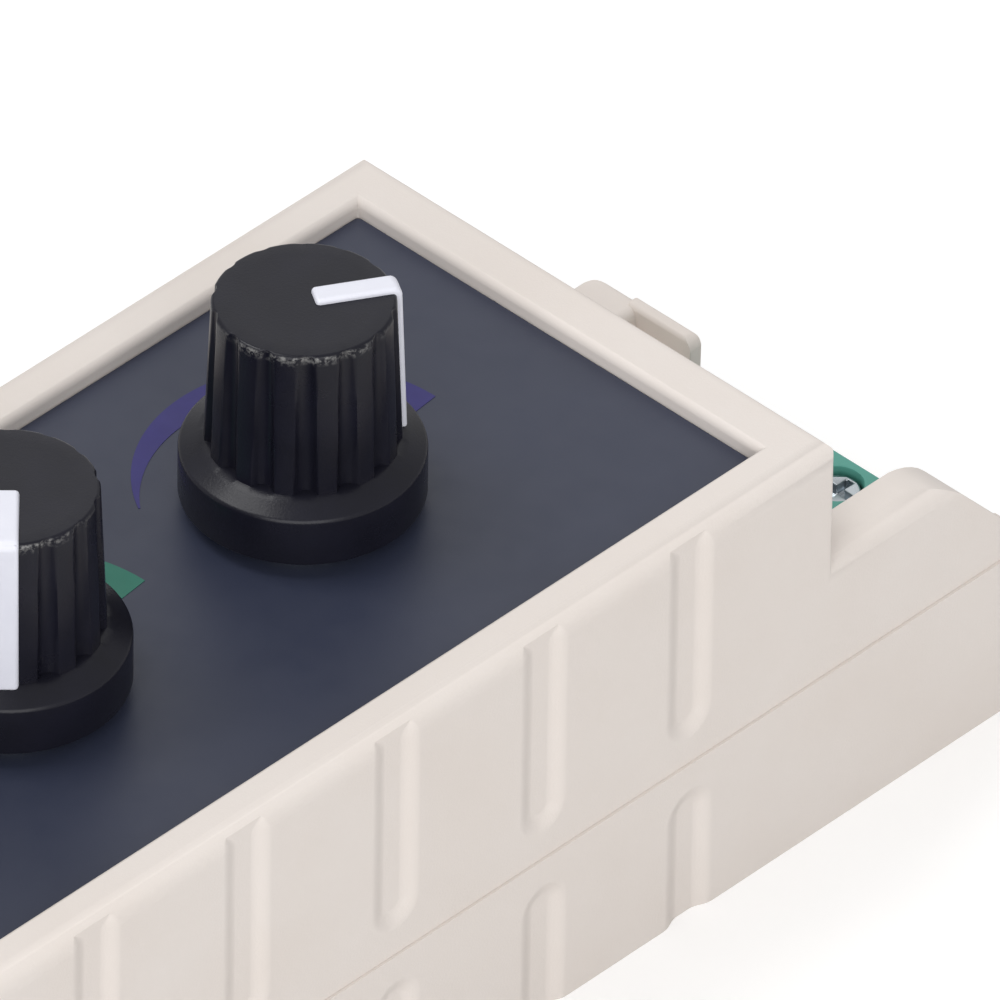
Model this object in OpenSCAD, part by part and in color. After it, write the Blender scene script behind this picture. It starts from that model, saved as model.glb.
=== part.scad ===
// Three-channel dimmer for a colour LED strip: two moulded shells, a recessed
// front panel, three control knobs and a screw terminal at each end.
// X runs along the case, Z points up, the origin is the middle of the underside.

/* [Case] */
// Overall width of the case
case_w = 42; // [42:1:54]
// Overall height of the case without the knobs
case_h = 30.3; // [29.9:0.1:34]
// Height of the lower shell up to the parting line
base_h = 12.3; // [12:0.1:13]
// Thickness of the moulded walls
wall = 2; // [1.8:0.1:2.2]
// Thickness of the floor of the lower shell
floor_t = 2.4; // [2:0.1:3]
// How far the lower shell stands proud of the cover
base_proud = 0.2; // [0.1:0.05:0.35]
// Radius of the upright corners of the case
corner_r = 0.7; // [0.4:0.1:1.4]

/* [Raised block] */
// Length of the raised block that carries the panel
block_l = 104; // [102:1:130]
// Radius of the rounded top edges along the block's sides
edge_r = 1.5; // [0.6:0.1:1.8]
// Radius of the rounded top edges at the block's ends
end_edge_r = 0.8; // [0.4:0.1:1.5]
// Width of the rim at the ends of the panel recess
rim_x = 3.6; // [3:0.1:5]
// Width of the rim along the sides of the panel recess
rim_y = 3.4; // [2.8:0.05:4.2]
// Radius of the rim's rounded inner edge
rim_r = 0.7; // [0.4:0.1:1]
// Depth of the recess from the rim down to the bare moulding
recess_d = 1.6; // [1.2:0.1:1.8]
// Thickness of the moulding under the panel
top_t = 1.7; // [1.5:0.1:1.9]
// Thickness of the printed panel sheet
sheet_t = 0.3; // [0.2:0.05:0.5]

/* [Side flutes] */
// Number of flutes along each side, an odd number
flute_n = 7; // [3:2:7]
// Distance from one flute to the next
flute_pitch = 13; // [11:0.5:13.5]
// Width of a flute
flute_w = 3.2; // [2.6:0.1:4]
// Depth of a flute
flute_d = 0.45; // [0.3:0.05:0.6]
// Plain wall between a flute's round end and the parting line
flute_gap = 2.4; // [1.5:0.1:2.6]

/* [Wiring ends] */
// Length of a wiring end, beyond the block
end_l = 18.5; // [17:0.5:24]
// Height of the shoulders beside the wiring bays, from the underside
shoulder_h = 21.2; // [20.8:0.1:23]
// Length of the flat top of a shoulder, beyond the block
ledge_l = 10.2; // [9:0.1:12]
// Thickness of the cheek beside a wiring bay
cheek_t = 3.8; // [3.2:0.1:4.4]
// Radius of the rounded outer top edge of a cheek
cheek_r = 1.7; // [1:0.1:2.4]
// Radius of the bend where a cheek's top turns down to its slope
cheek_bend_r = 5.5; // [3:0.5:6.5]
// Clear width of a wiring bay
bay_w = 17.6; // [16.6:0.1:19]
// Height of the sill that the wires pass over
sill_h = 8; // [7:0.1:9]
// Width of the pier between a wiring bay and the fixing lug
pier_w = 9.4; // [8.8:0.1:11]
// Reach of the pier beyond the block
pier_l = 10; // [8:0.5:11]
// Radius of the pier's upright outer corner
pier_r = 2.2; // [1:0.1:2.6]
// Width of the thin wing that ends a pier on the side of the bay
wing_w = 4.8; // [4.4:0.1:6]
// Thickness of the wing
wing_t = 1; // [0.8:0.1:1.4]
// Thickness of a fixing lug
lug_t = 3; // [2.4:0.1:4]
// Diameter of the hole through a fixing lug
lug_hole_d = 4.2; // [3.2:0.1:5]
// Radius of the outer corner of a fixing lug
lug_r = 3; // [1.5:0.5:4]

/* [Circuit board] */
// Height of the board's underside
pcb_z = 7.7; // [7.2:0.1:8]
// Thickness of the board
pcb_t = 1.6; // [1.2:0.2:1.6]
// Gap between the board's edges and the case
pcb_gap = 0.5; // [0.3:0.1:0.8]

/* [Case screws] */
// Diameter of a case screw
case_screw_d = 2.6; // [2.2:0.1:3]
// Diameter of a case screw's head
case_head_d = 4.8; // [4.4:0.1:5.2]
// Height of a case screw's head
case_head_h = 1.8; // [1.4:0.1:2]
// Length of a case screw below its head
case_screw_l = 12; // [11:0.5:16]
// Diameter of the pillars that the case screws pass through
pillar_d = 6.6; // [6.2:0.1:7]

/* [Screw terminals] */
// Distance from one pole to the next
pole_pitch = 5.08; // [5:0.04:5.2]
// Length of a terminal housing along the case
term_l = 9.4; // [9.2:0.1:9.9]
// Height of a terminal housing above the board
term_h = 10.1; // [9.9:0.1:10.6]
// Diameter of the hole over a clamping screw
term_hole_d = 3.4; // [3.2:0.1:3.7]
// Diameter of a clamping screw
clamp_d = 3; // [2.6:0.1:3]
// Distance of a clamping screw from the wire face of the housing
clamp_inset = 2.5; // [2.4:0.1:3]
// Travel of a wire cage
cage_travel = 1.9; // [1.4:0.1:2]
// Thickness of the contact bar
bar_t = 0.8; // [0.6:0.1:0.9]
// Width of the contact bar
bar_w = 2.6; // [2:0.1:2.7]

/* [Knobs] */
// Distance from one knob to the next
knob_pitch = 25.8; // [24:0.2:28]
// Diameter of the knob's skirt
skirt_d = 15.5; // [15:0.1:18]
// Height of the upright side of the skirt
skirt_h = 3.4; // [3.2:0.1:4]
// Rise of the skirt's sloping top
skirt_rise = 0.8; // [0.4:0.1:1.2]
// Diameter of the fluted body at its foot
grip_foot_d = 12.3; // [11.6:0.1:13]
// Diameter of the fluted body at its top
grip_top_d = 11.5; // [10.6:0.1:12]
// Height of the whole knob
knob_h = 14.8; // [14:0.1:18]
// Number of flutes round the knob
grip_n = 14; // [8:2:18]
// Radius of a knob flute
grip_r = 0.72; // [0.5:0.02:0.8]
// Depth of a knob flute at its foot
grip_d = 0.65; // [0.4:0.05:0.7]
// Gap between the panel and the underside of a knob
knob_lift = 1.1; // [0.8:0.1:1.6]
// Width of the pointer
pointer_w = 1.6; // [1:0.1:2]
// How far the pointer stands proud of the knob
pointer_proud = 0.35; // [0.2:0.05:0.6]
// Distance from the knob's axis to the pointer's inner end
pointer_start = 0.6; // [0.4:0.05:3]

/* [Potentiometers] */
// Diameter of the control shaft
shaft_d = 6; // [5:0.5:6]
// Length of the shaft above the mounting face
shaft_l = 14.3; // [13.5:0.1:14.5]
// Diameter of the threaded bushing
bushing_d = 7; // [7:0.1:7.6]
// Height of the bushing above the mounting face
bushing_h = 5.4; // [4.8:0.1:5.6]
// Width of the fixing nut across its flats
nut_af = 10; // [9.4:0.1:10.4]
// Thickness of the fixing nut
nut_t = 2; // [1.6:0.1:2.2]
// Outer diameter of the washer
washer_d = 12; // [10.8:0.1:12.4]
// Thickness of the washer
washer_t = 0.5; // [0.3:0.1:0.6]
// Outer diameter of the potentiometer's can
can_d = 16.8; // [15.6:0.2:17.6]
// Depth of the can
can_h = 6.2; // [5.8:0.1:6.8]

/* [Hidden] */
// The red, green and blue channels, in order along X
CHANNELS = ["red", "green", "blue"];
ENDS = ["output", "input"];
CONTROL_PARTS = ["knob", "pointer", "shaft", "rotor", "bushing", "wafer", "can", "washer", "nut", "pins"];
CLAMP_PARTS = ["screw", "cage"];
// Number of poles in each terminal
poles = 3;

$fn = 48;
cut = 0.5;

// Colours
BEIGE = [0.90, 0.87, 0.83];
SLATE = [0.26, 0.27, 0.33];
BOARD_GREEN = [0.10, 0.36, 0.20];
TERMINAL_GREEN = [0.42, 0.68, 0.60];
STEEL = [0.74, 0.75, 0.77];
TIN = [0.80, 0.80, 0.78];
BLACK = [0.09, 0.09, 0.10];
WHITE = [0.92, 0.91, 0.94];
BROWN = [0.45, 0.26, 0.14];
SLEEVE = [0.12, 0.14, 0.30];

// Direction of each pointer, in degrees from +X
POINTER_DEG = [200, 224.4, -31];

// Case
case_l = block_l + 2 * end_l;
cover_w = case_w - 2 * base_proud;
seam_fit = 0.1;
lap_t = 0.85;
lap_h = 1.4;
lap_end = 5;
recess_z = case_h - recess_d;
ceiling_z = recess_z - top_t;
panel_z = recess_z + sheet_t;
sheet_fit = 0.1;
recess_r = 0.3;
rim_r_rise = 0.03;
recess_l = block_l - 2 * rim_x;
recess_w = cover_w - 2 * rim_y;

// Wiring ends: the near side of a bay lies against its cheek
bay_y = -case_w / 2 + cheek_t;
pier_y = bay_y + bay_w;
pier_end_y = pier_y + pier_w;
pier_wall = 1.4;
pier_roof = 1.4;
pier_edge_r = 0.7;
pier_face = block_l / 2 + pier_l;
bay_side_t = 0.8;
wing_drop = 2.4;
wing_rise = 0.2;
wing_r = 1;
wing_edge_r = 0.4;
pocket_z = shoulder_h - wing_drop;
slope_end = case_l / 2 - base_proud;
lug_x = (block_l + end_l) / 2;
lug_y = (pier_end_y + case_w / 2) / 2;

// Circuit board
pcb_top = pcb_z + pcb_t;
pcb_l = block_l - 2 * (wall + pcb_gap);
pcb_w = case_w - 2 * (wall + pcb_gap);
pin_hole_fit = 0.15;

// Case screws and their pillars
pillar_gap = 1;
pillar_x = block_l / 2 - wall - pillar_gap - pillar_d / 2;
pillar_y = case_w / 2 - wall - pillar_gap - pillar_d / 2;
shank_fit = 0.2;
head_fit = 0.25;
head_seat_t = 2;
pilot_fit = 0.02;
pilot_spare = 2;
head_z = pcb_z - head_seat_t - case_head_h;
pilot_end = head_z + case_head_h + case_screw_l + pilot_spare;

// Screw terminals
term_fit = 0.2;
term_side = 0.25;
term_chamfer = 0.6;
term_w = poles * pole_pitch + 2 * term_side;
term_y = bay_y + term_fit;
term_x = block_l / 2 + term_fit;
term_face = term_x + term_l;
term_top = pcb_top + term_h;
tongue_x = term_face + pcb_gap;
tongue_y = bay_y - pcb_gap;
tongue_end_y = pier_y - bay_side_t - pcb_gap;
term_roof = 1;
term_floor = 0.8;
clamp_x = term_face - clamp_inset;
clamp_sink = 0.5;
clamp_fit = 0.05;
cage_fit = 0.15;
pole_wall = 0.78;
face_wall = 0.65;
cage_w = pole_pitch - pole_wall - 2 * cage_fit;
cage_l = 2 * (clamp_inset - face_wall - cage_fit);
cage_roof = 1.4;
cage_side = 0.5;
cage_floor = 0.8;
cage_lift = 0.3;
nip = 0.3;
bar_gap = 0.2;
heel = 2;
cage_z = pcb_top + term_floor + cage_lift;
wire_room = cage_travel + nip;
bar_z = cage_z + cage_floor + wire_room;
cage_h = cage_floor + wire_room + bar_t + bar_gap + cage_roof;
clamp_l = term_top - clamp_sink - bar_z - bar_t - clamp_fit;
bar_x = term_x + heel;
bar_end = clamp_x + cage_l / 2;
pin_w = 1;
pin_drop = 1.5;
wire_d = 2.6;
mouth_drop = 0.2;
mouth_z = cage_z + cage_floor + wire_d / 2 - mouth_drop;
slot_w = 0.6;
slot_d = 0.8;

// Knobs
knob_z = panel_z + knob_lift;
skirt_wall = 1.3;
skirt_roof = 0.2;
hollow_d = skirt_d - 2 * skirt_wall;
hollow_h = skirt_h - skirt_roof;
grip_z = skirt_h + skirt_rise;
skirt_c = 0.25;
skirt_slope = 2 * skirt_rise / (skirt_d - grip_foot_d);
hub_fit = 0.03;
hub_gap = 0.4;
pointer_sink = 0.8;
pointer_r = 0.35;
flute_foot = 0.25;
edge_c = 0.2;

// Potentiometers
plate_t = 1.2;
can_wall = 0.4;
plate_d = can_d - 2 * can_wall;
wafer_t = 1.4;
wafer_z = ceiling_z - plate_t - wafer_t;
can_lug_w = 2.4;
can_lug_fit = 0.1;
shaft_fit = 0.05;
nut_fit = 0.05;
hole_fit = 0.15;
rotor_side = 0.8;
rotor_d = plate_d - 2 * rotor_side;
rotor_t = 2.6;
rotor_gap = 0.3;
rotor_z = wafer_z - rotor_gap - rotor_t;
rotor_hub_d = 9;
rotor_hub_h = 1;
pin_pitch = 5;
leg_w = 1.2;
leg_t = 0.5;
pad_t = 0.4;
rivet_d = 2.2;
rivet_gap = 0.3;
rivet_y = can_d / 2 + rivet_gap + rivet_d / 2;
leg_y = rivet_y + rivet_d / 2 + leg_t;
wafer_lug_w = 2 * pin_pitch + 1.2 * rivet_d;
spline_n = 18;
spline_r = 0.3;
spline_l = 6.5;
shaft_slot_w = 1;
shaft_end = ceiling_z + shaft_l;
whole_l = shaft_end - rotor_z;

// Components on the board
mosfet_l = 6.6;
mosfet_w = 6.1;
mosfet_t = 2.3;
mosfet_tab_l = 2.2;
mosfet_tab_t = 0.5;
mosfet_lead_l = 2.8;
mosfet_lead_w = 0.8;
mosfet_lead_pitch = 2.3;
mosfet_edge = 7.2;
mosfet_y = pcb_w / 2 - mosfet_edge;
chip_l = 8.7;
chip_w = 3.9;
chip_t = 1.5;
chip_rise = 0.2;
chip_pitch = 1.27;
chip_lead_w = 0.4;
chip_span = 6;
chip_x = knob_pitch / 2;
regulator_d = 4.8;
regulator_h = 4.6;
regulator_flat = 1.3;
regulator_rise = 2;
regulator_x = -knob_pitch / 2;
capacitor_d = 8;
capacitor_h = 11.5;
capacitor_edge = 4;
capacitor_x = -knob_pitch / 2;
capacitor_y = pcb_w / 2 - capacitor_edge - capacitor_d / 2;
capacitor_rise = 0.3;
lead_d = 0.5;
resistor_l = 2;
resistor_w = 1.25;
resistor_t = 0.5;
resistor_n = 6;
resistor_pitch = 2.4;
resistor_gap = 2;
resistor_y = -(chip_span / 2 + resistor_gap);

// Turns its children onto both ends of the case
module at_both_ends() {
    for (a = [0, 180])
        rotate([0, 0, a])
            children();
}

// Places its children at the four case screws
module at_pillars() {
    for (x = [-pillar_x, pillar_x])
        for (y = [-pillar_y, pillar_y])
            translate([x, y, 0])
                children();
}

// A rectangle with round corners, centred
module round_rect(l, w, r) {
    square([l - 2 * r, w], center = true);
    square([l, w - 2 * r], center = true);
    for (x = [r - l / 2, l / 2 - r])
        for (y = [r - w / 2, w / 2 - r])
            translate([x, y])
                circle(r);
}

// A rectangle from two opposite corners
module span(a, b) {
    translate(a)
        square(b - a);
}

// A box from two opposite corners
module block(a, b) {
    translate(a)
        cube(b - a);
}

// Face of one flute, round at one end: its end at z0, open past z1
module flute_face(z0, z1) {
    r = flute_w / 2;
    translate([0, z0 + r])
        circle(r);
    span([-r, z0 + r], [r, z1]);
}

// The flutes of one side, cut from both sides of the case
module flutes(side, z0, z1, up) {
    for (s = [-1, 1])
        for (i = [-(flute_n - 1) / 2:(flute_n - 1) / 2])
            translate([i * flute_pitch, s * side, 0])
                rotate([90, 0, 0])
                    linear_extrude(2 * flute_d, center = true)
                        if (up)
                            flute_face(z0, z1);
                        else
                            mirror([0, 1])
                                flute_face(-z1, -z0);
}

// Plan of a pier at the +X end, its corner on the lug's side rounded
module pier_plan() {
    x0 = block_l / 2 - wall;
    span([x0, pier_y], [pier_face, pier_end_y - pier_r]);
    span([x0, pier_y], [pier_face - pier_r, pier_end_y]);
    translate([pier_face - pier_r, pier_end_y - pier_r])
        circle(pier_r);
}

// Plan of the lower shell's walls, without the fixing lugs
module base_plan() {
    intersection() {
        round_rect(case_l, case_w, corner_r);
        union() {
            square([block_l, case_w], center = true);
            at_both_ends() {
                span([0, -case_w / 2], [case_l / 2, pier_y]);
                pier_plan();
            }
        }
    }
}

// Plan of the room inside the lower shell
module base_room() {
    square([block_l - 2 * wall, case_w - 2 * wall], center = true);
    at_both_ends() {
        span([0, wall - case_w / 2], [case_l / 2 - wall, pier_y - bay_side_t]);
        span([0, wall - case_w / 2], [pier_face - wall, pier_end_y - wall]);
    }
}

// Plan of the two fixing lugs
module lug_plan() {
    intersection() {
        round_rect(case_l, case_w, lug_r);
        at_both_ends() {
            span([block_l / 2 - wall, pier_end_y - wall], [case_l / 2, case_w / 2]);
            span([pier_face - wall / 2, pier_y - bay_side_t / 2], [case_l / 2, case_w / 2]);
        }
    }
}

module base_shell() {
    color(BEIGE)
        difference() {
            union() {
                difference() {
                    linear_extrude(base_h)
                        base_plan();
                    translate([0, 0, floor_t])
                        linear_extrude(base_h)
                            base_room();
                }
                linear_extrude(lug_t)
                    lug_plan();
                for (s = [-1, 1])
                    lap_lip(s);
                at_pillars()
                    cylinder(d = pillar_d, h = pcb_z);
            }
            flutes(case_w / 2, -cut, base_h - flute_gap, false);
            at_pillars()
                screw_well();
            at_both_ends() {
                translate([lug_x, lug_y, -cut])
                    cylinder(d = lug_hole_d, h = lug_t + 2 * cut);
                block([pier_face, bay_y, sill_h], [case_l, pier_y + cut, case_h]);
            }
        }
}

// The lip that stands up inside the cover along one side
module lap_lip(s) {
    y0 = case_w / 2 - wall;
    x = block_l / 2 - lap_end;
    mirror([0, s < 0 ? 1 : 0, 0])
        block([-x, y0, base_h - lap_h], [x, y0 + lap_t, base_h + lap_h]);
}

// The stepped hole for one case screw
module screw_well() {
    translate([0, 0, -cut])
        cylinder(d = case_head_d + 2 * head_fit, h = head_z + case_head_h + cut);
    cylinder(d = case_screw_d + 2 * shank_fit, h = pcb_z + cut);
}

// Side profile of the raised block
module block_side() {
    translate([0, base_h])
        difference() {
            translate([0, (case_h - base_h) / 2 - end_edge_r])
                round_rect(block_l, case_h - base_h + 2 * end_edge_r, end_edge_r);
            span([-block_l, -case_h], [block_l, 0]);
        }
}

// End profile of the raised block
module block_end() {
    translate([0, base_h])
        difference() {
            translate([0, (case_h - base_h) / 2 - edge_r])
                round_rect(cover_w, case_h - base_h + 2 * edge_r, edge_r);
            span([-case_w, -case_h], [case_w, 0]);
        }
}

// The solid raised block, all its edges rounded
module block_body() {
    intersection() {
        rotate([90, 0, 0])
            linear_extrude(cover_w, center = true)
                block_side();
        rotate([90, 0, 90])
            linear_extrude(block_l, center = true)
                block_end();
        linear_extrude(case_h)
            round_rect(block_l, cover_w, corner_r);
    }
}

// Profile of the panel recess across a length, flared where the rim is rounded
module recess_profile(l) {
    flare = l / 2 + rim_r;
    z = case_h - rim_r + rim_r_rise;
    span([-l / 2, recess_z], [l / 2, case_h + cut]);
    difference() {
        span([-flare, z], [flare, case_h + cut]);
        for (x = [-flare, flare])
            translate([x, z])
                circle(rim_r);
    }
}

// The room that the panel recess takes out of the block
module recess() {
    intersection() {
        rotate([90, 0, 0])
            linear_extrude(case_w, center = true)
                recess_profile(recess_l);
        rotate([90, 0, 90])
            linear_extrude(case_l, center = true)
                recess_profile(recess_w);
    }
}

// Side profile of a cheek: flat, then bending down a slope to the parting line
module cheek_side() {
    x0 = block_l / 2 - wall;
    x1 = block_l / 2 + ledge_l;
    fall = atan((shoulder_h - base_h) / (slope_end - x1));
    reach = cheek_bend_r * tan(fall / 2);
    polygon([[x0, base_h], [slope_end, base_h],
             [x1 + reach * cos(fall), shoulder_h - reach * sin(fall)],
             [x1 - reach, shoulder_h], [x0, shoulder_h]]);
    intersection() {
        translate([x1 - reach, shoulder_h - cheek_bend_r])
            circle(cheek_bend_r);
        span([x0, base_h], [slope_end, shoulder_h]);
    }
}

// End profile of a cheek, its outer top edge rounded
module cheek_end() {
    y0 = -cover_w / 2;
    y1 = bay_y;
    span([y0, base_h], [y1, shoulder_h - cheek_r]);
    span([y0 + cheek_r, base_h], [y1, shoulder_h]);
    translate([y0 + cheek_r, shoulder_h - cheek_r])
        circle(cheek_r);
}

module cheek() {
    intersection() {
        rotate([90, 0, 0])
            linear_extrude(case_w, center = true)
                cheek_side();
        rotate([90, 0, 90])
            linear_extrude(case_l)
                cheek_end();
    }
}

// Side profile of a pier's full-height part, its outer top edge rounded
module pier_side() {
    x0 = block_l / 2 - wall;
    span([x0, base_h], [pier_face, shoulder_h - pier_edge_r]);
    span([x0, base_h], [pier_face - pier_edge_r, shoulder_h]);
    translate([pier_face - pier_edge_r, shoulder_h - pier_edge_r])
        circle(pier_edge_r);
}

// End profile of a pier's full-height part, both its top edges rounded
module pier_end() {
    y0 = pier_y + wing_w;
    span([y0, base_h], [pier_end_y, shoulder_h - pier_edge_r]);
    span([y0 + pier_edge_r, base_h], [pier_end_y - pier_edge_r, shoulder_h]);
    for (y = [y0 + pier_edge_r, pier_end_y - pier_edge_r])
        translate([y, shoulder_h - pier_edge_r])
            circle(pier_edge_r);
}

// Side profile of the wing, its top rounded over
module wing_side() {
    top = shoulder_h + wing_rise;
    x0 = pier_face - wing_t;
    span([x0, base_h], [pier_face, top - wing_edge_r]);
    span([x0 + wing_edge_r, base_h], [pier_face - wing_edge_r, top]);
    for (x = [x0 + wing_edge_r, pier_face - wing_edge_r])
        translate([x, top - wing_edge_r])
            circle(wing_edge_r);
}

// End profile of the wing, its free top corner rounded
module wing_face() {
    top = shoulder_h + wing_rise;
    y1 = pier_y + wing_w + pier_edge_r;
    span([pier_y, pocket_z - wing_t], [y1, top - wing_r]);
    span([pier_y + wing_r, pocket_z - wing_t], [y1, top]);
    translate([pier_y + wing_r, top - wing_r])
        circle(wing_r);
}

// A pier: full height beside the lug, a pocket behind a thin wing beside the bay
module pier() {
    translate([0, 0, base_h])
        linear_extrude(pocket_z - base_h)
            pier_plan();
    intersection() {
        translate([0, 0, base_h])
            linear_extrude(shoulder_h - base_h)
                pier_plan();
        rotate([90, 0, 0])
            linear_extrude(case_w, center = true)
                pier_side();
        rotate([90, 0, 90])
            linear_extrude(case_l)
                pier_end();
    }
    intersection() {
        rotate([90, 0, 0])
            linear_extrude(case_w, center = true)
                wing_side();
        rotate([90, 0, 90])
            linear_extrude(case_l)
                wing_face();
    }
}

// The room inside a pier, open to the room inside the block
module pier_room() {
    block([block_l / 2 - wall - cut, pier_y + pier_wall, base_h - cut],
          [pier_face - pier_wall, pier_end_y - pier_wall, pocket_z - pier_roof]);
}

// The rebate that takes the lower shell's lip along one side
module lap_rebate(s) {
    y0 = case_w / 2 - wall - base_proud - seam_fit;
    x = block_l / 2 - lap_end + seam_fit;
    mirror([0, s < 0 ? 1 : 0, 0])
        block([-x, y0 - cut, base_h - cut],
              [x, case_w / 2 - wall + lap_t + seam_fit, base_h + lap_h + seam_fit]);
}

module cover_shell() {
    color(BEIGE)
        difference() {
            union() {
                difference() {
                    union() {
                        block_body();
                        at_both_ends() {
                            cheek();
                            pier();
                        }
                    }
                    block([wall - block_l / 2, wall - cover_w / 2, base_h - cut],
                          [block_l / 2 - wall, cover_w / 2 - wall, ceiling_z]);
                    at_both_ends()
                        pier_room();
                }
                at_pillars()
                    translate([0, 0, pcb_top])
                        cylinder(d = pillar_d, h = ceiling_z - pcb_top + cut);
            }
            recess();
            flutes(cover_w / 2, base_h + flute_gap, case_h + cut, true);
            for (s = [-1, 1])
                lap_rebate(s);
            at_controls()
                cylinder(d = bushing_d + 2 * hole_fit, h = case_h);
            at_pillars()
                cylinder(d = case_screw_d + 2 * pilot_fit, h = pilot_end);
        }
}

module panel_sheet() {
    color(SLATE)
        translate([0, 0, recess_z])
            linear_extrude(sheet_t)
                difference() {
                    round_rect(recess_l - 2 * sheet_fit, recess_w - 2 * sheet_fit, recess_r);
                    at_controls()
                        circle(d = bushing_d + 2 * hole_fit);
                }
}

module circuit_board() {
    color(BOARD_GREEN)
        translate([0, 0, pcb_z])
            linear_extrude(pcb_t)
                difference() {
                    union() {
                        square([pcb_l, pcb_w], center = true);
                        at_both_ends()
                            span([0, tongue_y], [tongue_x, tongue_end_y]);
                    }
                    at_pillars()
                        circle(d = case_screw_d + 2 * shank_fit);
                    at_both_ends()
                        at_poles()
                            translate([bar_x + bar_t / 2, 0])
                                circle(d = pin_w + bar_t / 2 + 2 * pin_hole_fit);
                    at_controls()
                        at_pins()
                            circle(d = leg_w + 2 * pin_hole_fit);
                }
}

module case_screws() {
    color(STEEL)
        at_pillars()
            translate([0, 0, head_z])
                difference() {
                    union() {
                        cylinder(d = case_head_d, h = case_head_h);
                        cylinder(d = case_screw_d, h = case_head_h + case_screw_l);
                    }
                    for (a = [0, 90])
                        rotate([0, 0, a])
                            translate([0, 0, -slot_d])
                                linear_extrude(2 * slot_d)
                                    square([case_head_d - 2 * slot_w, slot_w], center = true);
                }
}

// Places its children at each pole of the terminal at the +X end
module at_poles() {
    for (i = [1:poles])
        at_pole(i)
            children();
}

module at_pole(i) {
    translate([0, term_y + term_side + (i - 0.5) * pole_pitch, 0])
        children();
}

// A terminal housing: screw holes above, wire mouths in its face
module terminal_housing() {
    room_w = cage_w + 2 * cage_fit;
    room_l = cage_l + 2 * cage_fit;
    color(TERMINAL_GREEN)
        difference() {
            translate([0, term_y + term_w, 0])
                rotate([90, 0, 0])
                    linear_extrude(term_w)
                        polygon([[term_x + term_chamfer, pcb_top], [term_face, pcb_top],
                                 [term_face, term_top - term_chamfer / 2],
                                 [term_face - term_chamfer / 2, term_top],
                                 [term_x + term_chamfer, term_top],
                                 [term_x, term_top - term_chamfer],
                                 [term_x, pcb_top + term_chamfer]]);
            at_poles() {
                translate([clamp_x, 0, cage_z])
                    cylinder(d = term_hole_d, h = term_h);
                block([clamp_x - room_l / 2, -room_w / 2, pcb_top + term_floor],
                      [clamp_x + room_l / 2, room_w / 2, term_top - term_roof]);
                block([bar_x - clamp_fit, -bar_w / 2 - clamp_fit, pcb_top - cut],
                      [clamp_x, bar_w / 2 + clamp_fit, bar_z + bar_t + clamp_fit]);
                translate([clamp_x, 0, mouth_z])
                    rotate([0, 90, 0])
                        cylinder(d = wire_d, h = clamp_inset + cut);
            }
        }
}

// The contact bars and solder pins of one terminal
module contact_bars() {
    color(TIN)
        at_poles() {
            block([bar_x, -bar_w / 2, bar_z], [bar_end, bar_w / 2, bar_z + bar_t]);
            block([bar_x, -bar_w / 2, pcb_top], [bar_x + bar_t, bar_w / 2, bar_z]);
            block([bar_x, -pin_w / 2, pcb_z - pin_drop], [bar_x + bar_t, pin_w / 2, pcb_top]);
        }
}

module clamp_screw(i) {
    color(STEEL)
        at_pole(i)
            translate([clamp_x, 0, bar_z + bar_t + clamp_fit])
                difference() {
                    cylinder(d = clamp_d, h = clamp_l);
                    for (a = [0, 90])
                        rotate([0, 0, a])
                            translate([0, 0, clamp_l - slot_d])
                                linear_extrude(2 * slot_d)
                                    square([clamp_d - slot_w, slot_w], center = true);
                }
}

// A wire cage: its roof rides on the screw, its floor lifts the wire
module clamp_cage(i) {
    inner_w = cage_w - 2 * cage_side;
    color(STEEL)
        at_pole(i)
            difference() {
                block([clamp_x - cage_l / 2, -cage_w / 2, cage_z],
                      [clamp_x + cage_l / 2, cage_w / 2, cage_z + cage_h]);
                block([clamp_x - cage_l, -inner_w / 2, cage_z + cage_floor],
                      [clamp_x + cage_l, inner_w / 2, cage_z + cage_h - cage_roof]);
                translate([clamp_x, 0, cage_z + cage_h - cage_roof - cut])
                    cylinder(d = clamp_d + 2 * clamp_fit, h = cage_roof + 2 * cut);
            }
}

// Places its children at one of the three controls, or at all of them
module at_control(c) {
    translate([(c - 1) * knob_pitch, 0, 0])
        children();
}

module at_controls() {
    for (c = [0:2])
        at_control(c)
            children();
}

// Places its children at a control's three legs
module at_pins() {
    for (i = [-1:1])
        translate([i * pin_pitch, -leg_y, 0])
            children();
}

// Radius of the fluted body at a height above the knob's underside
function grip_radius(z) =
    (grip_foot_d + (grip_top_d - grip_foot_d) * (z - grip_z) / (knob_h - grip_z)) / 2;

// The slice that the pointer fills, a little proud of the knob
module pointer_shape(proud) {
    z0 = grip_z - flute_foot;
    foot = grip_radius(z0);
    top = grip_radius(knob_h);
    rotate([90, 0, 0])
        linear_extrude(pointer_w, center = true)
            polygon([[pointer_start, knob_h - pointer_sink], [top - pointer_sink, knob_h - pointer_sink],
                     [foot - pointer_sink, z0], [foot + proud, z0],
                     [top + proud, knob_h + proud - pointer_r],
                     [top + proud - pointer_r, knob_h + proud],
                     [pointer_start, knob_h + proud]]);
}

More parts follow.
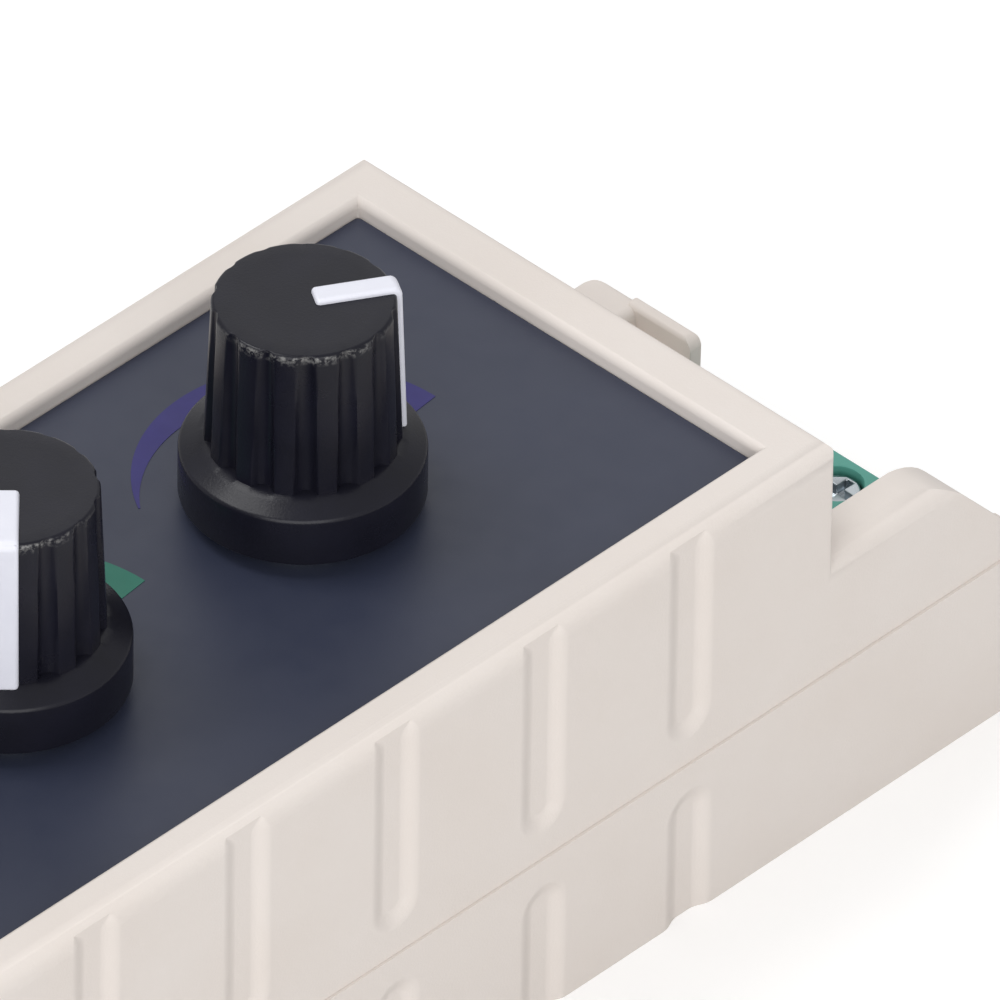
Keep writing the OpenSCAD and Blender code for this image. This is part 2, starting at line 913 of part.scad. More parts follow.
// A knob: hollow skirt, fluted body, hub bored for the shaft
module knob() {
    top = grip_radius(knob_h);
    color(BLACK)
        difference() {
            rotate_extrude()
                polygon([[0, 0], [skirt_d / 2 - skirt_c, 0], [skirt_d / 2, skirt_c],
                         [skirt_d / 2, skirt_h - skirt_c],
                         [skirt_d / 2 - skirt_c, skirt_h + skirt_c * skirt_slope],
                         [grip_foot_d / 2, grip_z],
                         [grip_radius(knob_h - edge_c), knob_h - edge_c], [top - edge_c, knob_h],
                         [0, knob_h]]);
            for (i = [0:grip_n - 1])
                rotate([0, 0, i * 360 / grip_n])
                    grip_flute();
            translate([0, 0, -cut])
                cylinder(d = hollow_d, h = hollow_h + cut);
            cylinder(d = shaft_d + 2 * hub_fit, h = shaft_end - knob_z + hub_gap);
            pointer_shape(pointer_proud);
        }
}

// An upright round-bottomed flute, which the taper makes shallow at the top
module grip_flute() {
    translate([grip_foot_d / 2 + grip_r - grip_d, 0, grip_z - flute_foot])
        cylinder(r = grip_r, h = knob_h, $fn = 24);
}

module pointer() {
    color(WHITE)
        pointer_shape(pointer_proud);
}

// The control shaft: plain in the bushing, splined and slotted at its end
module control_shaft() {
    color(STEEL)
        translate([0, 0, rotor_z])
            difference() {
                cylinder(d = shaft_d, h = whole_l);
                for (i = [0:spline_n - 1])
                    rotate([0, 0, i * 360 / spline_n])
                        translate([shaft_d / 2 + spline_r / 2, 0, whole_l - spline_l])
                            cylinder(r = spline_r, h = spline_l + cut, $fn = 16);
                translate([0, 0, whole_l - spline_l])
                    linear_extrude(spline_l + cut)
                        square([shaft_d + cut, shaft_slot_w], center = true);
            }
}

// The moulded rotor that carries the wiper
module rotor() {
    color(WHITE)
        translate([0, 0, rotor_z])
            difference() {
                union() {
                    cylinder(d = rotor_d, h = rotor_t);
                    translate([0, 0, -rotor_hub_h])
                        cylinder(d = rotor_hub_d, h = rotor_hub_h);
                }
                cylinder(d = shaft_d + 2 * hub_fit, h = rotor_t + cut);
            }
}

// The mounting plate with its threaded bushing
module bushing() {
    color(TIN)
        translate([0, 0, ceiling_z])
            difference() {
                union() {
                    translate([0, 0, -plate_t])
                        cylinder(d = plate_d, h = plate_t);
                    cylinder(d = bushing_d, h = bushing_h);
                }
                translate([0, 0, -plate_t - cut])
                    cylinder(d = shaft_d + 2 * shaft_fit, h = plate_t + bushing_h + 2 * cut);
            }
}

// Plan of the wafer: round, with a square lug for the legs
module wafer_plan() {
    circle(d = plate_d);
    span([-wafer_lug_w / 2, -leg_y - leg_t], [wafer_lug_w / 2, 0]);
}

// The board that carries the resistive track
module wafer() {
    color(BROWN)
        translate([0, 0, wafer_z])
            linear_extrude(wafer_t)
                difference() {
                    wafer_plan();
                    circle(d = rotor_hub_d);
                    for (i = [-1:1])
                        translate([i * pin_pitch, -rivet_y])
                            circle(d = rivet_d);
                }
}

// The pressed can that closes the potentiometer from below
module pot_can() {
    color(STEEL)
        difference() {
            union() {
                translate([0, 0, wafer_z - can_h])
                    cylinder(d = can_d, h = can_h);
                for (a = [0, 90, 180])
                    rotate([0, 0, a])
                        block([plate_d / 2 + can_lug_fit, -can_lug_w / 2, wafer_z - can_wall],
                              [can_d / 2, can_lug_w / 2, ceiling_z - can_lug_fit]);
            }
            translate([0, 0, wafer_z - can_h + can_wall])
                cylinder(d = can_d - 2 * can_wall, h = can_h);
        }
}

module washer() {
    color(STEEL)
        translate([0, 0, panel_z])
            linear_extrude(washer_t)
                difference() {
                    circle(d = washer_d);
                    circle(d = bushing_d + 2 * hole_fit);
                }
}

module nut() {
    color(STEEL)
        translate([0, 0, panel_z + washer_t])
            linear_extrude(nut_t)
                difference() {
                    circle(d = nut_af / cos(30), $fn = 6);
                    circle(d = bushing_d + 2 * nut_fit);
                }
}

// The three riveted legs that run down to the board
module pot_pins() {
    reach = leg_y - rivet_y;
    color(TIN)
        at_pins() {
            block([-leg_w / 2, -leg_t / 2, pcb_z - pin_drop], [leg_w / 2, leg_t / 2, wafer_z - pad_t]);
            block([-rivet_d / 2, -leg_t / 2, wafer_z - pad_t], [rivet_d / 2, reach + rivet_d / 2, wafer_z]);
            translate([0, reach, wafer_z - pad_t])
                cylinder(d = rivet_d, h = pad_t + wafer_t);
        }
}

// A power transistor with its soldered tab and leads
module mosfet() {
    color(BLACK)
        translate([0, mosfet_y, pcb_top]) {
            block([-mosfet_l / 2, -mosfet_w / 2, 0], [mosfet_l / 2, mosfet_w / 2, mosfet_t]);
            block([-mosfet_l / 2 + mosfet_tab_t, mosfet_w / 2 - cut, 0],
                  [mosfet_l / 2 - mosfet_tab_t, mosfet_w / 2 + mosfet_tab_l, mosfet_tab_t]);
            for (s = [-1, 1])
                translate([s * mosfet_lead_pitch, 0, 0])
                    block([-mosfet_lead_w / 2, -mosfet_w / 2 - mosfet_lead_l, 0],
                          [mosfet_lead_w / 2, cut - mosfet_w / 2, mosfet_tab_t]);
        }
}

module controller_chip() {
    color(BLACK)
        translate([chip_x, 0, pcb_top]) {
            block([-chip_l / 2, -chip_w / 2, chip_rise], [chip_l / 2, chip_w / 2, chip_rise + chip_t]);
            for (i = [-3:3])
                translate([i * chip_pitch, 0, 0])
                    block([-chip_lead_w / 2, -chip_span / 2, 0],
                          [chip_lead_w / 2, chip_span / 2, 2 * chip_rise]);
        }
}

module voltage_regulator() {
    color(BLACK)
        translate([regulator_x, 0, pcb_top]) {
            translate([0, 0, regulator_rise])
                linear_extrude(regulator_h)
                    difference() {
                        circle(d = regulator_d);
                        span([-regulator_d, regulator_flat], [regulator_d, regulator_d]);
                    }
            for (i = [-1:1])
                translate([i * chip_pitch, 0, 0])
                    cylinder(d = lead_d, h = regulator_rise + cut);
        }
}

module supply_capacitor() {
    color(SLEEVE)
        translate([capacitor_x, capacitor_y, pcb_top]) {
            translate([0, 0, capacitor_rise])
                rotate_extrude()
                    polygon([[0, 0], [capacitor_d / 2, 0], [capacitor_d / 2, capacitor_h - capacitor_rise],
                             [capacitor_d / 2 - capacitor_rise, capacitor_h], [0, capacitor_h]]);
            for (s = [-1, 1])
                translate([0, s * chip_pitch, 0])
                    cylinder(d = lead_d, h = capacitor_rise + cut);
        }
}

module chip_resistors() {
    color(BLACK)
        for (i = [0:resistor_n - 1])
            translate([(i - (resistor_n - 1) / 2) * resistor_pitch, resistor_y, pcb_top])
                block([-resistor_w / 2, -resistor_l / 2, 0], [resistor_w / 2, resistor_l / 2, resistor_t]);
}

base_shell();
cover_shell();
panel_sheet();
circuit_board();
case_screws();
for (e = [0:1])
    rotate([0, 0, e * 180]) {
        terminal_housing();
        contact_bars();
        for (i = [1:poles]) {
            clamp_screw(i);
            clamp_cage(i);
        }
    }
for (c = [0:2])
    at_control(c) {
        translate([0, 0, knob_z]) rotate([0, 0, POINTER_DEG[c]]) knob();
        translate([0, 0, knob_z]) rotate([0, 0, POINTER_DEG[c]]) pointer();
        control_shaft();
        rotor();
        bushing();
        wafer();
        pot_can();
        washer();
        nut();
        pot_pins();
        mosfet();
    }
controller_chip();
voltage_regulator();
supply_capacitor();
chip_resistors();
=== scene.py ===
"""Looks of a three-channel LED strip dimmer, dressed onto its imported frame.

The frame gives every piece at its real size. This script rounds the moulded
edges, turns the fluted knobs, prints the panel, gives each piece its finish
and sets up a plain pale studio with the camera at the photograph's angle.
"""
import logging
import math
from collections.abc import Sequence
from dataclasses import dataclass, field
from enum import Enum

import bmesh
import bpy
from mathutils import Matrix, Vector


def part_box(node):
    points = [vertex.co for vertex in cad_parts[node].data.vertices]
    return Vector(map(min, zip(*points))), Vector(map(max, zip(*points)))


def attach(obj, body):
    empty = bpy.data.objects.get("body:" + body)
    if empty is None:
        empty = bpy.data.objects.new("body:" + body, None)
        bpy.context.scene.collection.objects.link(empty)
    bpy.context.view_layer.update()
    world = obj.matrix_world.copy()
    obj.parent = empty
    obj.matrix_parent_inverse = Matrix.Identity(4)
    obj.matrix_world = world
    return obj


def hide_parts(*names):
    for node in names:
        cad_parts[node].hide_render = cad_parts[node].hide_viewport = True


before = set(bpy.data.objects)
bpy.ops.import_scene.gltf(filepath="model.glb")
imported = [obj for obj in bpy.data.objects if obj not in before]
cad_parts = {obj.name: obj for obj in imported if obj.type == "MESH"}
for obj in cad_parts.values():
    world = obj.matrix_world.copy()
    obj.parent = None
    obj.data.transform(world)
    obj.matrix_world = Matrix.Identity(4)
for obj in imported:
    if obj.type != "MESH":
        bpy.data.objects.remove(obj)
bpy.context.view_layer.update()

MM = 0.001
PICTURE_SIDE = 1000
MERGE_WITHIN = 0.000002
FACE_RANK = "__mod_weightednormals_faceweight"
STRONG, WEAK = 16384, -16384
log = logging.getLogger("dimmer")

Colour = tuple[float, float, float]
Value = float | int | bool | Sequence[float] | bpy.types.NodeSocket | bpy.types.Material


def srgb(red: float, green: float, blue: float) -> Colour:
    """Turns a screen colour into the linear one that the shaders work with.

    Args:
        red: red, from 0 to 255.
        green: green, from 0 to 255.
        blue: blue, from 0 to 255.

    Returns:
        The linear colour, each part from 0 to 1.
    """
    def linear(part: float) -> float:
        """Linear value of one part of a screen colour."""
        share = part / 255
        return share / 12.92 if share <= 0.04045 else ((share + 0.055) / 1.055) ** 2.4

    return linear(red), linear(green), linear(blue)


class Slot(Enum):
    """The record's material slots."""

    CASE = "case_shell"
    PANEL = "panel_print"
    BOARD = "board"
    TERMINAL = "terminal_body"
    STEEL = "steel"
    TIN = "tin"
    KNOB = "knob_black"
    POINTER = "pointer_white"
    SHAFT = "shaft_alloy"
    ROTOR = "rotor_plastic"
    PHENOLIC = "phenolic"
    CHIP = "chip_black"
    SLEEVE = "sleeve"


class Channel(Enum):
    """The three controls, by the colour that each one dims."""

    RED = "red"
    GREEN = "green"
    BLUE = "blue"


class End(Enum):
    """The two wiring ends."""

    OUTPUT = "output"
    INPUT = "input"


class Graph:
    """A node tree under construction, with short calls to add and join nodes."""

    def __init__(self, tree: bpy.types.NodeTree) -> None:
        """Takes an empty node tree to build in."""
        self.tree = tree

    def add(self, kind: str, *inputs: Value | None, **settings: object) -> bpy.types.Node:
        """Adds a node, sets its options and fills its inputs in order.

        Args:
            kind: the node's type name.
            inputs: values or sockets for the inputs in use, None to leave one alone.
            settings: the node's own options.

        Returns:
            The new node.
        """
        node = self.tree.nodes.new(kind)
        for name, setting in settings.items():
            setattr(node, name, setting)
        sockets = [s for s in node.inputs if s.enabled and s.type != "CUSTOM"]
        for socket, value in zip(sockets, inputs):
            self.feed(socket, value)
        return node

    def feed(self, socket: bpy.types.NodeSocket, value: Value | None) -> None:
        """Joins a socket to an input, or sets the input's own value.

        Args:
            socket: the input.
            value: an output socket, a plain value, or None to leave it alone.
        """
        if value is None:
            return
        if isinstance(value, bpy.types.NodeSocket):
            self.tree.links.new(value, socket)
        else:
            socket.default_value = value

    def math(self, operation: str, *values: Value) -> bpy.types.NodeSocket:
        """Adds a math node and returns its result."""
        return self.add("ShaderNodeMath", *values, operation=operation).outputs[0]

    def fill(self, node: bpy.types.Node, values: dict[str, Value]) -> bpy.types.Node:
        """Fills a node's inputs by name.

        Args:
            node: the node.
            values: a plain value or an output socket for each input.

        Returns:
            The same node.
        """
        for label, value in values.items():
            self.feed(node.inputs[label], value)
        return node

    def group(self, tree: bpy.types.NodeTree, **values: Value) -> bpy.types.Node:
        """Places a shared effect with its own values."""
        return self.fill(self.add("ShaderNodeGroup", node_tree=tree), values)

    def noise(self, vector: Value, scale: Value, detail: float,
              roughness: float) -> bpy.types.NodeSocket:
        """Adds a noise texture and returns its value, which swings about 0.5."""
        return self.add("ShaderNodeTexNoise", vector, scale, detail, roughness).outputs[0]

    def spread(self, value: Value, low: float, high: float, first: Value = 0.0,
               last: Value = 1.0) -> bpy.types.NodeSocket:
        """Maps a value between low and high to one between first and last."""
        return self.add("ShaderNodeMapRange", value, low, high, first, last).outputs[0]

    def mix(self, share: Value, first: Value, second: Value) -> bpy.types.NodeSocket:
        """Mixes two colours.

        Args:
            share: how much of the second colour shows, from 0 to 1.
            first: the first colour.
            second: the second colour.

        Returns:
            The mixed colour.
        """
        node = self.fill(self.add("ShaderNodeMix", data_type="RGBA"), {"Factor": share})
        colours = [s for s in node.inputs if s.name in ("A", "B") and s.type == "RGBA"]
        for socket, colour in zip(colours, (first, second)):
            self.feed(socket, colour)
        return next(s for s in node.outputs if s.type == "RGBA")


def group_tree(kind: str, name: str, inputs: dict[str, tuple[str, Value | None]],
               outputs: dict[str, str]
               ) -> tuple[Graph, dict[str, bpy.types.NodeSocket], bpy.types.Node]:
    """Starts a node group with named inputs and outputs.

    Args:
        kind: "ShaderNodeTree" or "GeometryNodeTree".
        name: the group's name.
        inputs: for each input its socket type and its default.
        outputs: for each output its socket type.

    Returns:
        The graph, the group's inputs by name, and its output node.
    """
    tree = bpy.data.node_groups.new(name, kind)
    for label, (socket_type, default) in inputs.items():
        socket = tree.interface.new_socket(label, in_out="INPUT", socket_type=socket_type)
        if default is not None:
            socket.default_value = default
    for label, socket_type in outputs.items():
        tree.interface.new_socket(label, in_out="OUTPUT", socket_type=socket_type)
    graph = Graph(tree)
    start = tree.nodes.new("NodeGroupInput")
    end = tree.nodes.new("NodeGroupOutput")
    return graph, {s.name: s for s in start.outputs if s.name}, end


class ShaderGroups:
    """Shared surface effects, each built once."""

    def __init__(self) -> None:
        """Builds the groups."""
        self.grain = self.build_grain()
        self.mottle = self.build_mottle()
        self.scuffs = self.build_scuffs()
        # Painted highlight specks on the knobs' front top edges, partly wear
        self.wear_and_glint = self.build_wear_and_glint()

    def swung(self, graph: Graph, given: dict[str, bpy.types.NodeSocket],
              noise: bpy.types.NodeSocket) -> bpy.types.NodeSocket:
        """Lets a noise swing the roughness to both sides of its given value.

        Args:
            graph: the group's graph.
            given: the group's inputs, with Roughness and Spread among them.
            noise: a noise that swings about 0.5.

        Returns:
            The roughness.
        """
        centred = graph.math("SUBTRACT", noise, 0.5)
        swing = graph.math("MULTIPLY", centred, graph.math("MULTIPLY", given["Spread"], 4.0))
        return graph.math("ADD", given["Roughness"], swing)

    def build_grain(self) -> bpy.types.NodeTree:
        """Fine moulded or printed grain: a height for the bump, and a roughness.

        Returns:
            The group's tree.
        """
        graph, given, end = group_tree(
            "ShaderNodeTree", "Fine grain",
            {"Vector": ("NodeSocketVector", None), "Scale": ("NodeSocketFloat", 4000.0),
             "Roughness": ("NodeSocketFloat", 0.5), "Spread": ("NodeSocketFloat", 0.05)},
            {"Height": "NodeSocketFloat", "Roughness": "NodeSocketFloat"})
        fine = graph.noise(given["Vector"], given["Scale"], detail=3.0, roughness=0.6)
        coarse_scale = graph.math("MULTIPLY", given["Scale"], 0.06)
        coarse = graph.noise(given["Vector"], coarse_scale, detail=2.0, roughness=0.5)
        graph.fill(end, {"Height": fine, "Roughness": self.swung(graph, given, coarse)})
        return graph.tree

    def build_mottle(self) -> bpy.types.NodeTree:
        """Cloudy drift between two near colours, as in moulded plastic.

        Returns:
            The group's tree.
        """
        white = (1.0, 1.0, 1.0, 1.0)
        graph, given, end = group_tree(
            "ShaderNodeTree", "Colour mottle",
            {"Vector": ("NodeSocketVector", None), "Scale": ("NodeSocketFloat", 120.0),
             "First": ("NodeSocketColor", white), "Second": ("NodeSocketColor", white)},
            {"Colour": "NodeSocketColor"})
        cloud = graph.noise(given["Vector"], given["Scale"], detail=4.0, roughness=0.55)
        share = graph.spread(cloud, low=0.3, high=0.7)
        graph.fill(end, {"Colour": graph.mix(share, given["First"], given["Second"])})
        return graph.tree

    def build_scuffs(self) -> bpy.types.NodeTree:
        """Fine lines drawn out along one direction, as drawing and turning leave them.

        Returns:
            The group's tree.
        """
        graph, given, end = group_tree(
            "ShaderNodeTree", "Drawn lines",
            {"Vector": ("NodeSocketVector", None), "Stretch": ("NodeSocketVector", (1, 1, 1)),
             "Scale": ("NodeSocketFloat", 2000.0), "Roughness": ("NodeSocketFloat", 0.3),
             "Spread": ("NodeSocketFloat", 0.1)},
            {"Height": "NodeSocketFloat", "Roughness": "NodeSocketFloat"})
        drawn = graph.add("ShaderNodeVectorMath", given["Vector"], given["Stretch"],
                          operation="MULTIPLY")
        lines = graph.noise(drawn.outputs[0], given["Scale"], detail=2.0, roughness=0.6)
        graph.fill(end, {"Height": lines, "Roughness": self.swung(graph, given, lines)})
        return graph.tree

    def build_wear_and_glint(self) -> bpy.types.NodeTree:
        """Pale specks in a level band under the edge of each knob in a row.

        The knobs stand along X, one on the origin, and the specks lie on their
        -X -Y sides, the sides that face the camera and the key lamp. The specks
        are painted highlights on the rough top edge, partly real edge wear.

        Returns:
            The group's tree.
        """
        graph, given, end = group_tree(
            "ShaderNodeTree", "Edge wear and glints",
            {"Vector": ("NodeSocketVector", None), "Level": ("NodeSocketFloat", 0.0),
             "Band": ("NodeSocketFloat", 0.0005), "Side": ("NodeSocketFloat", -0.003),
             "Pitch": ("NodeSocketFloat", 0.02),
             "Scale": ("NodeSocketFloat", 3000.0), "Amount": ("NodeSocketFloat", 0.5)},
            {"Mask": "NodeSocketFloat"})
        x, y, z = graph.add("ShaderNodeSeparateXYZ", given["Vector"]).outputs
        half = graph.math("MULTIPLY", given["Pitch"], 0.5)
        beside = graph.math("WRAP", x, half, graph.math("MULTIPLY", half, -1.0))
        diagonal = graph.math("MULTIPLY", graph.math("ADD", beside, y), math.sqrt(0.5))
        below = graph.math("DIVIDE", graph.math("SUBTRACT", given["Level"], z), given["Band"])
        edge = graph.spread(below, low=0.08, high=0.2)
        fade = graph.spread(below, low=0.3, high=1.0, first=1.0, last=0.0)
        front = graph.spread(graph.math("DIVIDE", diagonal, given["Side"]), low=0.6, high=1.4)
        fine = graph.noise(given["Vector"], given["Scale"], detail=3.0, roughness=0.7)
        specks = graph.spread(fine, low=0.46, high=0.64, last=given["Amount"])
        area = graph.math("MULTIPLY", graph.math("MULTIPLY", edge, fade), front)
        graph.fill(end, {"Mask": graph.math("MULTIPLY", area, specks)})
        return graph.tree


@dataclass(frozen=True)
class WearAndGlint:
    """Pale specks on a moulded edge: painted highlights, partly wear that handling leaves.

    Lengths are in metres, and the scale is in features per metre. The level is
    the height of the knobs' tops, and the pitch is the distance between knobs.
    """

    level: float
    pitch: float
    colour: Colour
    band: float = 0.0008
    side: float = -0.0037
    scale: float = 2800.0
    amount: float = 0.55

    def over(self, graph: Graph, groups: ShaderGroups, place: bpy.types.NodeSocket,
             base: bpy.types.NodeSocket) -> bpy.types.NodeSocket:
        """Mixes the pale colour of the painted highlights and wear into the base colour.

        Args:
            graph: the material's graph.
            groups: the shared effects.
            place: the object coordinates.
            base: the colour without wear.

        Returns:
            The mixed colour.
        """
        # Pale specks: painted highlights on the front top edge, partly wear
        specks = graph.group(groups.wear_and_glint, Vector=place, Level=self.level, Pitch=self.pitch,
                             Band=self.band, Side=self.side, Scale=self.scale,
                             Amount=self.amount)
        return graph.mix(specks.outputs["Mask"], base, (*self.colour, 1.0))


@dataclass(frozen=True)
class Finish:
    """One surface finish, made into a material with the shared effects.

    Lengths are in metres and scales in features per metre.
    """

    name: str
    slot: Slot
    first: Colour
    second: Colour
    roughness: float
    spread: float = 0.04
    mottle_scale: float = 120.0
    grain_scale: float = 4000.0
    grain_depth: float = 0.00002
    metallic: float = 0.0
    specular: float = 0.5
    stretch: tuple[float, float, float] | None = None
    # Pale specks that paint highlights on an edge, partly wear
    wear_and_glint: WearAndGlint | None = None

    def material(self, groups: ShaderGroups) -> bpy.types.Material:
        """Builds the material.

        Args:
            groups: the shared effects.

        Returns:
            The finished material.
        """
        material = bpy.data.materials.new(self.name)
        material.use_nodes = True
        graph = Graph(material.node_tree)
        shader = material.node_tree.nodes["Principled BSDF"]
        place = graph.add("ShaderNodeTexCoord").outputs["Object"]
        colour = graph.group(groups.mottle, Vector=place, Scale=self.mottle_scale,
                             First=(*self.first, 1.0), Second=(*self.second, 1.0))
        base = colour.outputs["Colour"]
        # Painted highlight specks, partly wear, mixed into the colour
        if self.wear_and_glint:
            base = self.wear_and_glint.over(graph, groups, place, base)
        values = {"Vector": place, "Scale": self.grain_scale, "Roughness": self.roughness,
                  "Spread": self.spread}
        if self.stretch is None:
            relief = graph.group(groups.grain, **values)
        else:
            relief = graph.group(groups.scuffs, Stretch=self.stretch, **values)
        bump = graph.fill(graph.add("ShaderNodeBump"), {
            "Strength": 1.0, "Distance": self.grain_depth, "Height": relief.outputs["Height"]})
        graph.fill(shader, {
            "Base Color": base, "Roughness": relief.outputs["Roughness"],
            "Normal": bump.outputs[0], "Metallic": self.metallic,
            "Specular IOR Level": self.specular})
        return material


def middle_of(node: str) -> Vector:
    """The middle of a CAD node's box."""
    low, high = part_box(node)
    return (low + high) / 2


KNOB_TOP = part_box("green_knob")[1].z
KNOB_PITCH = middle_of("blue_shaft").x - middle_of("green_shaft").x
FINISHES = (
    Finish("Beige moulding", Slot.CASE, srgb(229, 221, 215), srgb(226, 217, 210), 0.55, spread=0.05,
           mottle_scale=90, grain_scale=5200, grain_depth=0.000012, specular=0.4),
    Finish("Slate print", Slot.PANEL, srgb(50, 55, 74), srgb(46, 51, 69), 0.42, spread=0.04,
           mottle_scale=60, grain_scale=9000, grain_depth=0.000006),
    Finish("Solder resist", Slot.BOARD, srgb(30, 96, 62), srgb(26, 84, 52), 0.35, grain_scale=3000,
           grain_depth=0.000004),
    Finish("Terminal nylon", Slot.TERMINAL, srgb(88, 163, 149), srgb(80, 152, 138), 0.42,
           mottle_scale=200, grain_scale=6000, grain_depth=0.000006),
    Finish("Zinc plate", Slot.STEEL, srgb(196, 202, 206), srgb(176, 184, 190), 0.28, spread=0.06,
           metallic=1.0, grain_scale=7000, grain_depth=0.000004),
    Finish("Tinned brass", Slot.TIN, srgb(206, 204, 196), srgb(188, 184, 172), 0.32, spread=0.06,
           metallic=1.0, grain_scale=5000, grain_depth=0.000004),
    # The knob's pale specks are painted highlights on its front top edge, partly wear
    Finish("Knob moulding", Slot.KNOB, srgb(24, 24, 35), srgb(20, 20, 29), 0.3, spread=0.05,
           mottle_scale=300, grain_scale=6000, grain_depth=0.00001, specular=0.3,
           wear_and_glint=WearAndGlint(KNOB_TOP, KNOB_PITCH, srgb(168, 167, 165))),
    Finish("Pointer moulding", Slot.POINTER, srgb(231, 232, 242), srgb(227, 228, 239), 0.4,
           mottle_scale=400, grain_scale=5000, grain_depth=0.000008),
    Finish("Turned alloy", Slot.SHAFT, srgb(205, 206, 208), srgb(190, 191, 194), 0.3, metallic=1.0,
           grain_scale=900, grain_depth=0.000006, stretch=(1.0, 1.0, 12.0)),
    Finish("Natural acetal", Slot.ROTOR, srgb(222, 220, 212), srgb(214, 211, 202), 0.45),
    Finish("Phenolic paper", Slot.PHENOLIC, srgb(140, 92, 60), srgb(120, 76, 48), 0.55,
           grain_scale=2500, grain_depth=0.00001, stretch=(1.0, 1.0, 10.0)),
    Finish("Moulded epoxy", Slot.CHIP, srgb(34, 34, 36), srgb(28, 28, 30), 0.6, grain_scale=8000,
           grain_depth=0.00001),
    Finish("Shrunk sleeve", Slot.SLEEVE, srgb(38, 46, 92), srgb(34, 40, 82), 0.3),
)


@dataclass(frozen=True)
class Ink:
    """A screen-printed ink on the panel sheet."""

    channel: Channel
    colour: Colour
    roughness: float = 0.5
    lift: float = 0.92

    def material(self, groups: ShaderGroups) -> bpy.types.Material:
        """Builds the ink's material, with the printed sheet's own grain.

        Args:
            groups: the shared effects.

        Returns:
            The finished material.
        """
        faded = tuple(part * self.lift for part in self.colour)
        return Finish(f"Ink {self.channel.value}", Slot.PANEL, self.colour, faded, self.roughness,
                      mottle_scale=900, grain_scale=9000, grain_depth=0.000006).material(groups)


INKS = (Ink(Channel.RED, srgb(108, 46, 56)), Ink(Channel.GREEN, srgb(32, 113, 95)),
        Ink(Channel.BLUE, srgb(43, 37, 110)))


class Paintbox:
    """All the materials, by slot, and the inks, by channel."""

    def __init__(self) -> None:
        """Builds every material once."""
        groups = ShaderGroups()
        self.by_slot = {f.slot: f.material(groups) for f in FINISHES}
        self.inks = {i.channel: i.material(groups) for i in INKS}

    def dress_node(self, node: str, slot: Slot) -> None:
        """Gives a CAD node the finish of its slot."""
        self.dress(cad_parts[node], self.by_slot[slot])

    def dress(self, piece: bpy.types.Object, material: bpy.types.Material) -> None:
        """Makes a material the only one of a piece."""
        piece.data.materials.clear()
        piece.data.materials.append(material)


def add_piece(name: str, mesh: bpy.types.Mesh, body: str, slot: Slot,
              material: bpy.types.Material, stands_for: Sequence[str] = ()) -> bpy.types.Object:
    """Links a finished mesh as a piece that rides on a body.

    Args:
        name: the piece's name.
        mesh: its mesh, in the row frame.
        body: the body that it rides on.
        slot: the record's material slot; not used.
        material: its material.
        stands_for: the CAD nodes that it replaces.

    Returns:
        The new object.
    """
    piece = bpy.data.objects.new(name, mesh)
    bpy.context.scene.collection.objects.link(piece)
    mesh.materials.clear()
    mesh.materials.append(material)
    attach(piece, body)
    if stands_for:
        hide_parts(*stands_for)
    log.info("piece %s: %d faces on %s", name, len(mesh.polygons), body)
    return piece


def settle(mesh: bpy.types.Mesh, name: str, kind: str, inputs: dict[str, Value] | None = None,
           **settings: object) -> bpy.types.Mesh:
    """Runs one modifier on a mesh and keeps the result as a plain mesh.

    Args:
        mesh: the mesh, which is used up.
        name: the result's name.
        kind: the modifier's type name.
        inputs: for a Geometry Nodes modifier, a value for each socket's identifier.
        settings: the modifier's own options.

    Returns:
        The result.
    """
    carrier = bpy.data.objects.new(name, mesh)
    bpy.context.scene.collection.objects.link(carrier)
    modifier = carrier.modifiers.new(kind.lower(), kind)
    for option, setting in settings.items():
        setattr(modifier, option, setting)
    for identifier, value in (inputs or {}).items():
        modifier[identifier] = value
    bpy.context.view_layer.update()
    settled = carrier.evaluated_get(bpy.context.evaluated_depsgraph_get())
    result = bpy.data.meshes.new_from_object(settled)
    bpy.data.objects.remove(carrier)
    bpy.data.meshes.remove(mesh)
    result.name = name
    return result


